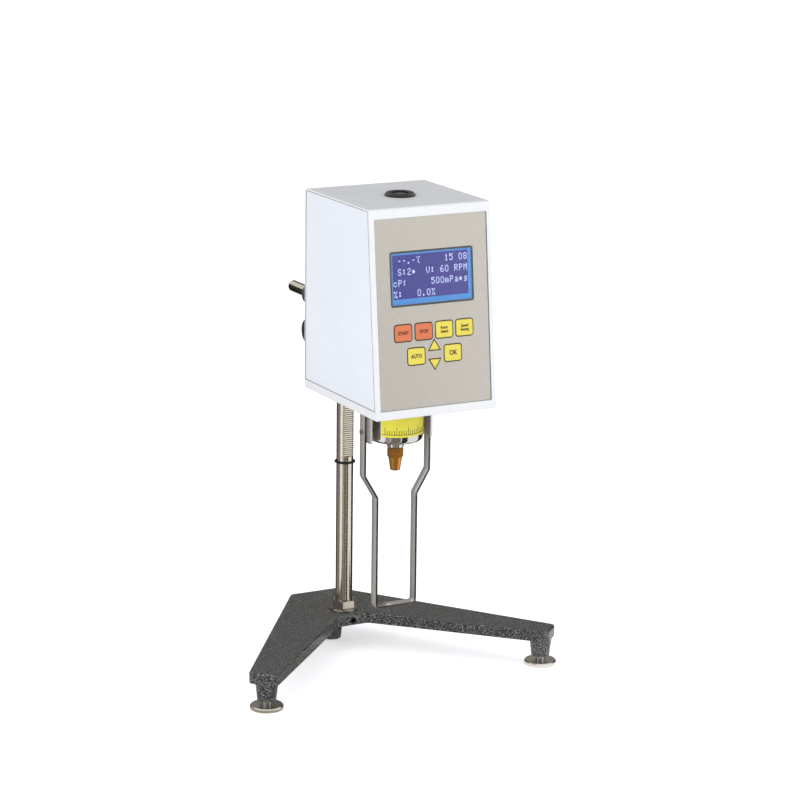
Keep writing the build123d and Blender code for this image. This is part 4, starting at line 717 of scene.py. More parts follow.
class KeyShape(Enum):
    """Outline of a key, seen from the front."""

    SQUARE = "square"
    UP = "up"
    DOWN = "down"


@dataclass(frozen=True)
class Key:
    """One key: its node, place, outline, finish and legend."""

    node: str
    across: float
    down: float
    shape: KeyShape
    finish: Finish
    legend: str = ""
    letter: float = 2.6


def default_keys() -> list[Key]:
    """Return the eight keys of the front panel."""
    return [
        Key("key_start", -28.5, 102.5, KeyShape.SQUARE, ORANGE_KEY, "START", 2.7),
        Key("key_stop", -9.5, 102.5, KeyShape.SQUARE, ORANGE_KEY, "STOP", 2.7),
        Key("key_rotor", 9.5, 102.5, KeyShape.SQUARE, YELLOW_KEY, "Rotor\nSelect", 2.3),
        Key("key_speed", 28.5, 102.5, KeyShape.SQUARE, YELLOW_KEY, "Speed\nSetting", 2.3),
        Key("key_auto", -17.0, 122.5, KeyShape.SQUARE, YELLOW_KEY, "AUTO", 3.0),
        Key("key_enter", 17.0, 122.5, KeyShape.SQUARE, YELLOW_KEY, "OK", 3.8),
        Key("key_up", 0.0, 114.7, KeyShape.UP, YELLOW_KEY),
        Key("key_down", 0.0, 130.3, KeyShape.DOWN, YELLOW_KEY),
    ]


@dataclass
class Keypad:
    """The keys, their printed outlines and their legends."""

    front: SlopingFront
    keys: list[Key] = field(default_factory=default_keys)
    width: float = 15.2
    height: float = 13.2
    corner: float = 1.8
    arrow_width: float = 9.2
    arrow_height: float = 7.5
    proud: float = 0.5
    wall: float = 2.1
    flange: float = 0.7
    flange_depth: float = 1.0
    stem: float = 1.5
    stem_depth: float = 0.6
    outline: float = 0.95
    hole_gap: float = 0.25
    cap_edge: float = 0.35
    print_depth: float = 0.04
    recess: float = 0.2

    def outline_form(self, key: Key, grow: float, depth: float, edge: float = 0.0) -> BMesh:
        """Shape a plate with a key's outline.

        Args:
            key: Key whose outline it takes.
            grow: Even growth of the outline in millimetres.
            depth: Thickness.
            edge: Rounding of the outer rim.

        Returns:
            The plate with its outer face on the XY plane.
        """
        if key.shape is KeyShape.SQUARE:
            return rounded_plate(
                self.width + 2 * grow, self.height + 2 * grow, depth, self.corner + grow, edge
            )
        half = self.arrow_width / 2
        inner = half * self.arrow_height / (half + math.hypot(half, self.arrow_height))
        scale = 1 + grow / inner
        low = -inner * scale
        turn = -1.0 if key.shape is KeyShape.DOWN else 1.0
        shift = inner - self.arrow_height / 2
        tip = low + self.arrow_height * scale
        corners = [(-half * scale, low), (half * scale, low), (0.0, tip)]
        form = bmesh.new()
        verts = [form.verts.new((x * MM, turn * (y + shift) * MM, 0.0)) for x, y in corners]
        form.faces.new(verts)
        bmesh.ops.recalc_face_normals(form, faces=form.faces)
        return thickened(form, depth, edge)

    def build_key(self, key: Key) -> None:
        """Build one key with its cap, hidden flange, stem and legend."""
        piece = Piece(f"cap_{key.node}", key.node.replace("key_", "") + "_key")
        cap = self.outline_form(key, 0.0, self.proud + self.wall, self.cap_edge)
        piece.add(cap, key.finish, self.front.place(key.across, key.down, self.proud))
        flange = self.outline_form(key, self.flange, self.flange_depth)
        piece.add(flange, key.finish, self.front.place(key.across, key.down, -self.wall))
        back = self.wall + self.flange_depth
        end = -self.stem_depth
        stem = turned([(0.0, end), (self.stem, end), (self.stem, 0.0), (0.0, 0.0)], 24)
        piece.add(stem, key.finish, self.front.place(key.across, key.down, -back))
        if key.legend:
            words = lettering(key.legend, key.letter, 0.86)
            piece.add(words, DARK_INK, self.front.place(key.across, key.down, self.proud + 0.01))
        piece.build((key.node,))

    def build_outlines(self) -> None:
        """Build the dark printed lines round every key."""
        piece = Piece("key_outlines", "head")
        for key in self.keys:
            ring = self.outline_form(key, self.outline, self.print_depth)
            face = max(ring.faces, key=lambda f: f.calc_center_median().z)
            line = (self.outline - self.hole_gap) * MM
            bmesh.ops.inset_region(ring, faces=[face], thickness=line, use_even_offset=True)
            bmesh.ops.delete(ring, geom=[face], context="FACES_ONLY")
            under = [f for f in ring.faces if f.normal.z < -0.5]
            bmesh.ops.delete(ring, geom=under, context="FACES")
            out = self.print_depth - self.recess
            piece.add(ring, DARK_INK, self.front.place(key.across, key.down, out))
        piece.build()

    def build(self) -> None:
        """Build every key and the printed outlines."""
        for key in self.keys:
            self.build_key(key)
        self.build_outlines()


# Dot patterns of the display's characters: seven rows of five dots, each row a binary number
GLYPHS = {
    "0": (14, 17, 17, 17, 17, 17, 14),
    "1": (4, 12, 4, 4, 4, 4, 14),
    "2": (14, 17, 1, 6, 8, 16, 31),
    "5": (31, 16, 30, 1, 1, 17, 14),
    "6": (6, 8, 16, 30, 17, 17, 14),
    "8": (14, 17, 17, 14, 17, 17, 14),
    "-": (0, 0, 0, 14, 0, 0, 0),
    ".": (0, 0, 0, 0, 0, 12, 12),
    ":": (0, 12, 12, 0, 12, 12, 0),
    "%": (25, 26, 2, 4, 8, 11, 19),
    "P": (30, 17, 17, 30, 16, 16, 16),
    "S": (14, 17, 16, 14, 1, 17, 14),
    "V": (17, 17, 17, 17, 17, 10, 4),
    "R": (30, 17, 17, 30, 20, 18, 17),
    "M": (17, 27, 21, 21, 17, 17, 17),
    "a": (0, 0, 14, 1, 15, 17, 15),
    "c": (0, 0, 14, 17, 16, 17, 14),
    "m": (0, 0, 26, 21, 21, 21, 21),
    "s": (0, 0, 15, 16, 14, 1, 30),
    "*": (0, 0, 12, 30, 30, 12, 0),
    "d": (19, 4, 4, 4, 4, 4, 3),
    " ": (0, 0, 0, 0, 0, 0, 0),
}


@dataclass
class Display:
    """The display window: frame print, clear pane and backlit picture with a plain readout."""

    front: SlopingFront
    width: float = 77.4
    height: float = 45.6
    down: float = 58.2
    corner: float = 2.2
    border: float = 1.6
    recess: float = 0.2
    pane_depth: float = 0.6
    picture_depth: float = 0.85
    field_width: float = 69.6
    field_height: float = 36.2
    field_shift: float = -1.0
    field_down: float = 56.6
    columns: int = 16
    lines: tuple[str, ...] = (
        " --.-d     15 08",
        " S:2*  V: 60 RPM",
        "cP:     500mPa*s",
        "%:   0.0%",
    )
    fit: float = 0.1
    glow_inset: float = 1.7
    film: float = 0.02
    dot_width: float = 0.62
    dot_height: float = 0.78
    dot_share: float = 0.92
    text_left: float = 0.5
    text_drop: float = 1.4

    def build_pane(self) -> None:
        """Build the clear pane with its dark printed frame behind it."""
        piece = Piece("display_pane", "head")
        width, height = self.width - self.fit, self.height - self.fit
        depth = self.pane_depth * 0.6
        pane = rounded_plate(width, height, depth, self.corner, 0.1)
        piece.add(pane, CLEAR_ACRYLIC, self.front.place(0.0, self.down, -self.recess))
        frame = rounded_plate(width, height, 0.2, self.corner)
        faces = [f for f in frame.faces if abs(f.normal.z) > 0.5]
        bmesh.ops.inset_region(frame, faces=faces, thickness=self.border * MM, use_even_offset=True)
        middle = [f for f in faces if f.is_valid]
        bmesh.ops.delete(frame, geom=middle, context="FACES")
        behind = self.recess + depth + self.film
        piece.add(frame, BLACK_INK, self.front.place(0.0, self.down, -behind))
        piece.build(("display_lens",))

    def glyph_dots(self, character: str) -> BMesh:
        """Shape one character's dots, with its lower left corner at the origin.

        Args:
            character: Character in the glyph table.

        Returns:
            The dots as flat squares.
        """
        form = bmesh.new()
        wide, tall = self.dot_width * MM, self.dot_height * MM
        size = Matrix.Diagonal((wide * self.dot_share, tall * self.dot_share, 1, 1))
        for row, bits in enumerate(GLYPHS[character]):
            for column in range(5):
                if bits & (16 >> column):
                    spot = Matrix.Translation(((column + 0.5) * wide, (6.5 - row) * tall, 0.0))
                    spot = spot @ size
                    bmesh.ops.create_grid(form, x_segments=1, y_segments=1, size=0.5, matrix=spot)
        return form

    def build_picture(self) -> None:
        """Build the backlit border, the field and the readout."""
        piece = Piece("display_picture", "head")
        trim = 2 * self.glow_inset
        edge = rounded_plate(self.width - trim, self.height - trim, 0.03)
        piece.add(edge, PICTURE_EDGE, self.front.place(0.0, self.down, -self.picture_depth))
        area = rounded_plate(self.field_width, self.field_height, self.film)
        lift = self.picture_depth - self.film
        piece.add(area, PICTURE_FIELD, self.front.place(self.field_shift, self.field_down, -lift))
        cell = self.field_width / self.columns
        line = self.field_height / len(self.lines)
        left = self.field_shift - self.field_width / 2
        top = self.field_down - self.field_height / 2
        for row, words in enumerate(self.lines):
            for column, character in enumerate(words):
                if character == " ":
                    continue
                across = left + column * cell + self.text_left
                down = top + (row + 1) * line - self.text_drop
                dots = self.glyph_dots(character)
                piece.add(dots, PICTURE_DOTS, self.front.place(across, down, self.film - lift))
        piece.build()

    def build(self) -> None:
        """Build the pane and the picture."""
        self.build_pane()
        self.build_picture()


@dataclass
class BubbleLevel:
    """Round level on the head's top: black bezel, glass vial, marked ring and bubble."""

    y: float = -44.05
    z: float = 422.0
    bezel_radius: float = 13.0
    bezel_height: float = 3.0
    bevel: float = 1.6
    body_radius: float = 9.5
    depth: float = 6.0
    vial_radius: float = 7.5
    floor: float = 1.0
    proud: float = 1.6
    fluid_drop: float = 1.1
    ring_inner: float = 3.1
    ring_outer: float = 3.5

    def build(self) -> None:
        """Build the bezel and the vial with its fluid, ring, rim, bubble and domed glass."""
        place = moved(0.0, self.y, self.z)
        top = self.bezel_height
        inner = self.vial_radius + 0.03
        outer = self.bezel_radius
        bezel = Piece("level_bezel", "head")
        well = -self.depth + self.floor
        profile = [(inner, well), (inner, top - 0.4), (inner + 0.4, top)]
        profile += rounded(0.5, 0.5, (outer - self.bevel - 0.5, top - 0.5), 90.0, 45.0, 3)
        profile += [(outer, top - self.bevel), (outer, 0.0), (self.body_radius, 0.0)]
        profile += [(self.body_radius, -self.depth), (0.0, -self.depth), (0.0, well)]
        bezel.add(turned(profile, 72, True), BLACK_ABS, place)
        bezel.build(("bubble_bezel",))
        vial = Piece("level_vial", "head")
        radius = self.vial_radius - 0.02
        low = self.floor - self.depth + 0.02
        fluid_top = self.proud - self.fluid_drop
        fluid = [(0.0, low), (radius, low), (radius, fluid_top), (0.0, fluid_top)]
        vial.add(turned(fluid, 48), LEVEL_FLUID, place)
        print_low, print_high = fluid_top + 0.02, fluid_top + 0.05
        ring = [(self.ring_inner, print_low), (self.ring_outer, print_low)]
        ring += [(self.ring_outer, print_high), (self.ring_inner, print_high)]
        vial.add(turned(ring, 40, True), WHITE_INK, place)
        rim = [(radius - 1.5, print_low), (radius, print_low)]
        rim += [(radius, fluid_top + 0.3), (radius - 1.5, fluid_top + 0.3)]
        vial.add(turned(rim, 48, True), ZINC_STEEL, place)
        bubble = turned([(0.0, 0.0), (1.9, 0.0), (1.6, 0.22), (0.9, 0.36), (0.0, 0.4)], 32)
        vial.add(bubble, LEVEL_GLASS, place @ moved(0.6, 0.3, fluid_top + 0.06))
        dome = [(0.0, self.proud), (radius * 0.6, self.proud - 0.1)]
        dome += [(radius - 0.3, self.proud - 0.4)]
        dome += [(radius, self.proud - 0.7), (radius, fluid_top + 0.32), (0.0, fluid_top + 0.5)]
        vial.add(turned(dome, 48), LEVEL_GLASS, place)
        vial.build(("bubble_vial",))


@dataclass
class SpindleLine:
    """Bearing cup below the head with its band; the brass connector under it keeps its CAD mesh."""

    y: float = -41.05
    head_z: float = 250.0
    radius: float = 23.3
    length: float = 37.6
    round_off: float = 4.0
    wall: float = 2.2
    spigot: float = 17.0
    plate: float = 7.3
    neck_radius: float = 7.2
    neck_length: float = 6.7
    hub_bore: float = 2.5
    hub_lip: float = 1.5
    bearing_bore: float = 5.03
    floor: float = 2.5
    spigot_wall: float = 2.0
    band_bottom: float = 7.0
    band_top: float = 1.5
    band_half_deg: float = 59.0
    film: float = 0.26
    print_lift: float = 0.3
    mark_step_deg: float = 5.0
    mark_half_deg: float = 0.55

    def build_cup(self) -> None:
        """Build the polished cup as a turned shell with its neck."""
        bottom = -self.length
        foot = bottom - self.neck_length
        rim = self.plate + 2.0
        profile = [(self.spigot, rim), (self.spigot, 0.0), (self.radius - 0.3, 0.0)]
        profile += [(self.radius, -0.3), (self.radius, bottom + self.round_off)]
        centre = (self.radius - self.round_off, bottom + self.round_off)
        profile += rounded(self.round_off, self.round_off, centre, 0.0, -90.0, 8)[1:]
        neck = self.neck_radius
        profile += [(neck + 0.8, bottom), (neck, bottom - 0.8), (neck, foot + 0.6)]
        profile += [(neck - 0.6, foot), (self.hub_bore, foot)]
        profile += [(self.hub_bore, foot + self.hub_lip), (self.bearing_bore, foot + self.hub_lip)]
        profile += [(self.bearing_bore, bottom + self.floor)]
        profile += [(self.radius - self.wall, bottom + self.floor)]
        profile += [(self.radius - self.wall, -self.wall)]
        profile += [(self.spigot - self.spigot_wall, -self.wall)]
        profile += [(self.spigot - self.spigot_wall, rim)]
        piece = Piece("cup_shell", "head")
        piece.add(turned(profile, 96, True), POLISHED_CUP, moved(0.0, self.y, self.head_z))
        piece.build(("bearing_cup",))

    def band_strip(self, low: float, high: float, lift: float, half_deg: float) -> BMesh:
        """Shape a curved strip round the front of the cup.

        Args:
            low: Height of its lower edge above the cup's bottom, in millimetres.
            high: Height of its upper edge.
            lift: Thickness off the cup.
            half_deg: Angle it reaches to each side of the front.

        Returns:
            The strip about the cup's axis, with its origin at the cup's bottom.
        """
        form = bmesh.new()
        inner, outer = self.radius + 0.03, self.radius + 0.03 + lift
        ring = [(inner, low), (outer, low), (outer, high), (inner, high)]
        verts = [form.verts.new((0.0, -r * MM, z * MM)) for r, z in ring]
        face = form.faces.new(verts)
        start = Matrix.Rotation(math.radians(-half_deg), 4, "Z")
        bmesh.ops.transform(form, matrix=start, verts=verts)
        bmesh.ops.spin(
            form,
            geom=[face],
            cent=(0.0, 0.0, 0.0),
            axis=(0.0, 0.0, 1.0),
            angle=math.radians(2 * half_deg),
            steps=48,
            use_merge=False,
        )
        bmesh.ops.holes_fill(form, edges=[e for e in form.edges if e.is_boundary])
        bmesh.ops.recalc_face_normals(form, faces=form.faces)
        return form

    def build_band(self) -> None:
        """Build the yellow film with plain ruled lines and marks."""
        piece = Piece("cup_film", "head")
        place = moved(0.0, self.y, self.head_z - self.length)
        top = self.length - self.band_top
        film = self.band_strip(self.band_bottom, top, self.film, self.band_half_deg)
        piece.add(film, YELLOW_FILM, place)
        for low in (self.band_bottom + 2.0, top - 2.8):
            rule = self.band_strip(low, low + 0.5, self.print_lift, self.band_half_deg - 3)
            piece.add(rule, BLACK_INK, place)
        foot = self.band_bottom + 2.5
        for number in range(-10, 11):
            tall = 6.0 if number % 5 == 0 else 3.5
            mark = self.band_strip(foot, foot + tall, self.print_lift, self.mark_half_deg)
            turn = Matrix.Rotation(math.radians(number * self.mark_step_deg), 4, "Z")
            piece.add(mark, BLACK_INK, place @ turn)
        piece.build(("cup_band",))

    def build(self) -> None:
        """Build the cup and its band."""
        self.build_cup()
        self.build_band()


@dataclass
class WireGuard:
    """Bent steel strap round the spindle, made in two mirrored halves."""

    y: float = -41.05
    head_z: float = 250.0
    strap: float = 2.0
    depth: float = 9.0
    top_half: float = 31.75
    low_half: float = 19.75
    top_gap: float = 3.0
    bend_top: float = 66.5
    bend_bottom: float = 86.5
    bottom: float = 185.0
    bend_radius: float = 3.0
    edge: float = 0.45

    def half(self) -> BMesh:
        """Shape the left half, from the middle of the cross bar up to the head.

        Returns:
            The half strap, open where it meets its mirror image.
        """
        form = bmesh.new()
        turn = Matrix.Rotation(math.radians(90.0), 4, "Y")
        spot = Matrix.Translation((0.0, 0.0, (-self.bottom + self.strap / 2) * MM))
        grid = bmesh.ops.create_grid(form, x_segments=1, y_segments=1, size=0.5, matrix=spot @ turn)
        bmesh.ops.scale(
            form,
            vec=(1.0, self.depth * MM, self.strap * MM),
            space=spot.inverted(),
            verts=grid["verts"],
        )
        slant = math.atan2(self.top_half - self.low_half, self.bend_bottom - self.bend_top)
        radius = self.bend_radius
        elbow = radius * math.tan(slant / 2)
        low_x = -(self.low_half - self.strap / 2)
        top_x = -(self.top_half - self.strap / 2)
        drop = -self.bottom + self.strap / 2
        foot = Vector((low_x + radius, 0, drop))
        knee = Vector((low_x, 0, -self.bend_bottom - elbow))
        runs = [
            (foot, foot + Vector((0, 0, radius)), math.pi / 2),
            (knee, knee - Vector((radius, 0, 0)), -slant),
        ]
        slope = Vector((-math.sin(slant), 0, math.cos(slant)))
        before = Vector((top_x, 0, -self.bend_top)) - slope * elbow
        side = Vector((math.cos(slant), 0, math.sin(slant)))
        runs.append((before, before + side * radius, slant))
        at = Vector((0, 0, drop))
        face = form.faces[:]
        for reach, centre, angle in runs:
            face = self.carry(form, face, reach - at)
            face = self.bend(form, face, centre, angle)
            arm = Matrix.Rotation(angle, 3, "Y") @ (reach - centre)
            at = centre + arm
        self.carry(form, face, Vector((top_x, 0, -self.top_gap)) - at)
        bmesh.ops.recalc_face_normals(form, faces=form.faces)
        return form

    def carry(self, form: BMesh, face: list[BMFace], step: Vector) -> list[BMFace]:
        """Draw the strap straight on by a step in millimetres and return its new end face."""
        grown = bmesh.ops.extrude_face_region(form, geom=face)
        bmesh.ops.translate(form, vec=step * MM, verts=chosen(grown, BMVert))
        return chosen(grown, BMFace)

    def bend(
        self, form: BMesh, face: list[BMFace], centre: Vector, angle: float
    ) -> list[BMFace]:
        """Draw the strap round a bend and return its new end face.

        Args:
            form: Mesh of the strap.
            face: End face so far.
            centre: Centre of the bend in millimetres.
            angle: Turn about Y in radians.

        Returns:
            The new end face.
        """
        turned_end = bmesh.ops.spin(
            form,
            geom=face,
            cent=centre * MM,
            axis=(0.0, 1.0, 0.0),
            angle=angle,
            steps=8,
            use_merge=False,
        )
        return [part for part in turned_end["geom_last"] if isinstance(part, BMFace)]

    def build(self) -> None:
        """Join the two halves, round the strap's long edges and fit it under the head."""
        piece = Piece("guard_strap", "head")
        form = self.half()
        copy = bmesh.ops.duplicate(form, geom=form.verts[:] + form.edges[:] + form.faces[:])
        bmesh.ops.scale(form, vec=(-1.0, 1.0, 1.0), verts=chosen(copy, BMVert))
        middle = [f for f in form.faces if all(abs(v.co.x) < 1e-6 for v in f.verts)]
        bmesh.ops.delete(form, geom=middle, context="FACES_ONLY")
        bmesh.ops.remove_doubles(form, verts=form.verts, dist=1e-6)
        bmesh.ops.recalc_face_normals(form, faces=form.faces)
        sharp = math.radians(80)
        closed = [e for e in form.edges if len(e.link_faces) == 2]
        bmesh.ops.bevel(
            form,
            geom=[e for e in closed if e.calc_face_angle() > sharp],
            offset=self.edge * MM,
            segments=2,
            profile=0.5,
            affect="EDGES",
            material=-1,
        )
        piece.add(form, STRAP_STEEL, moved(0.0, self.y, self.head_z))
        piece.repaint(SLIT_EDGE, Vector((0.0, 1.0, 0.0)), 30.0)
        piece.build(("guard",))


@dataclass
class SeamAndShadowLines:
    """Dark lines in the joints of the head's sheet metal, and painted shadow lines along the
    fascia's right and bottom edges, where its edge casts shade.
    """

    front: SlopingFront
    half_width: float = 56.0
    back_y: float = 20.55
    plate_top: float = 257.3
    sheet_inset: float = 1.3
    front_inset: float = 2.1
    line: float = 0.5
    edge_line: float = 0.9
    lift: float = 0.02
    thick: float = 0.04
    corner: float = 1.7
    panel_half: float = 51.5
    panel_top: float = 8.4
    panel_foot: float = 165.4

    def side_line(self, side: int) -> BMesh:
        """Shape the dark seam line round one side panel.

        Args:
            side: 1 for the right side, -1 for the left.

        Returns:
            The ring in the side's plane.
        """
        face = self.front
        drop = face.height - (self.plate_top - (face.top_z - face.height))
        slope = (face.depth_bottom - face.depth_top) / face.height
        front_top = face.top_y + self.front_inset - slope * self.sheet_inset
        corners = [
            (self.back_y - self.sheet_inset, self.plate_top),
            (face.top_y + self.front_inset - slope * drop, self.plate_top),
            (front_top, face.top_z - self.sheet_inset),
            (self.back_y - self.sheet_inset, face.top_z - self.sheet_inset),
        ]
        form = bmesh.new()
        verts = [form.verts.new((0.0, y * MM, z * MM)) for y, z in corners]
        form.faces.new(verts)
        bmesh.ops.bevel(
            form,
            geom=verts[2:],
            offset=self.corner * MM,
            offset_type="OFFSET",
            segments=6,
            profile=0.5,
            affect="VERTICES",
            material=-1,
        )
        bmesh.ops.inset_region(
            form,
            faces=form.faces[:],
            thickness=self.line * MM,
            use_even_offset=True,
            use_boundary=True,
        )
        middle = max(form.faces, key=lambda f: f.calc_area())
        bmesh.ops.delete(form, geom=[middle], context="FACES_ONLY")
        grown = bmesh.ops.extrude_face_region(form, geom=form.faces[:], use_keep_orig=True)
        shift = (side * self.thick * MM, 0.0, 0.0)
        bmesh.ops.translate(form, vec=shift, verts=chosen(grown, BMVert))
        bmesh.ops.recalc_face_normals(form, faces=form.faces)
        return form

    def build(self) -> None:
        """Build the seam lines of both sides and the painted shadow lines at the fascia's right and
        bottom.
        """
        piece = Piece("head_seams_and_shadow_lines", "head")
        for side in (-1, 1):
            spot = moved(side * (self.half_width + self.lift - self.thick), 0.0, 0.0)
            piece.add(self.side_line(side), SEAM_AND_SHADOW_LINE, spot)
        # Painted shadow: dark strips at the fascia's right and bottom edges stand in for the shade
        # that its edge casts.
        tall = self.panel_foot - self.panel_top
        upright = rounded_plate(self.edge_line, tall, self.thick)
        across, middle = self.panel_half + self.edge_line / 2, self.panel_top + tall / 2
        piece.add(upright, SEAM_AND_SHADOW_LINE, self.front.place(across, middle, self.lift))
        sill = rounded_plate(2 * self.panel_half, self.line, self.thick)
        piece.add(sill, SEAM_AND_SHADOW_LINE, self.front.place(0.0, self.panel_foot, self.lift))
        piece.build()


@dataclass
class RearFittings:
    """Metal pins of the power inlet and the marks on the power switch."""

    x: float = 30.0
    back_y: float = 20.55
    inlet_z: float = 276.0
    switch_z: float = 304.0
    pin_width: float = 2.0
    pin_height: float = 4.0
    pin_spacing: float = 7.0
    pin_offset: float = 2.0
    pin_out: float = -2.6
    pin_length: float = 10.0
    skin: float = 0.05
    pivot_out: float = -3.8
    rocker_face: float = 5.4
    tilt_deg: float = 8.0
    mark_rise: float = 4.2
    mark_height: float = 2.6

    def build_pins(self) -> None:
        """Build the three bright pins over the solid ones."""
        piece = Piece("inlet_pins", "head")
        turn = Matrix.Rotation(math.radians(-90.0), 4, "X")
        width, height = self.pin_width + 2 * self.skin, self.pin_height + 2 * self.skin
        out = self.back_y + self.pin_out + self.skin
        low = -self.pin_offset
        for across, rise in ((-self.pin_spacing, low), (self.pin_spacing, low), (0.0, -low)):
            pin = rounded_plate(width, height, self.pin_length, 0.0, 0.5)
            spot = moved(self.x + across, out, self.inlet_z + rise)
            piece.add(pin, PLATED_STEEL, spot @ turn)
        piece.build()

    def build_marks(self) -> None:
        """Build the plain on and off marks on the rocker's two faces."""
        piece = Piece("rocker_marks", "power_rocker")
        pivot = moved(self.x, self.back_y + self.pivot_out, self.switch_z)
        lean = Matrix.Rotation(math.radians(-self.tilt_deg), 4, "X")
        outward = Matrix.Rotation(math.radians(-90.0), 4, "X")
        flip = Matrix.Rotation(math.radians(180.0), 4, "Z")
        tilt = math.radians(self.tilt_deg)
        lift = self.rocker_face + self.mark_rise * math.tan(tilt) + self.skin
        for words, side in (("I", 1), ("O", -1)):
            slope = Matrix.Rotation(side * tilt, 4, "X")
            spot = pivot @ lean @ moved(0.0, lift, side * self.mark_rise)
            mark = lettering(words, self.mark_height)
            piece.add(mark, WHITE_INK, spot @ slope @ outward @ flip)
        piece.build()

    def build(self) -> None:
        """Build the pins and the marks."""
        self.build_pins()
        self.build_marks()


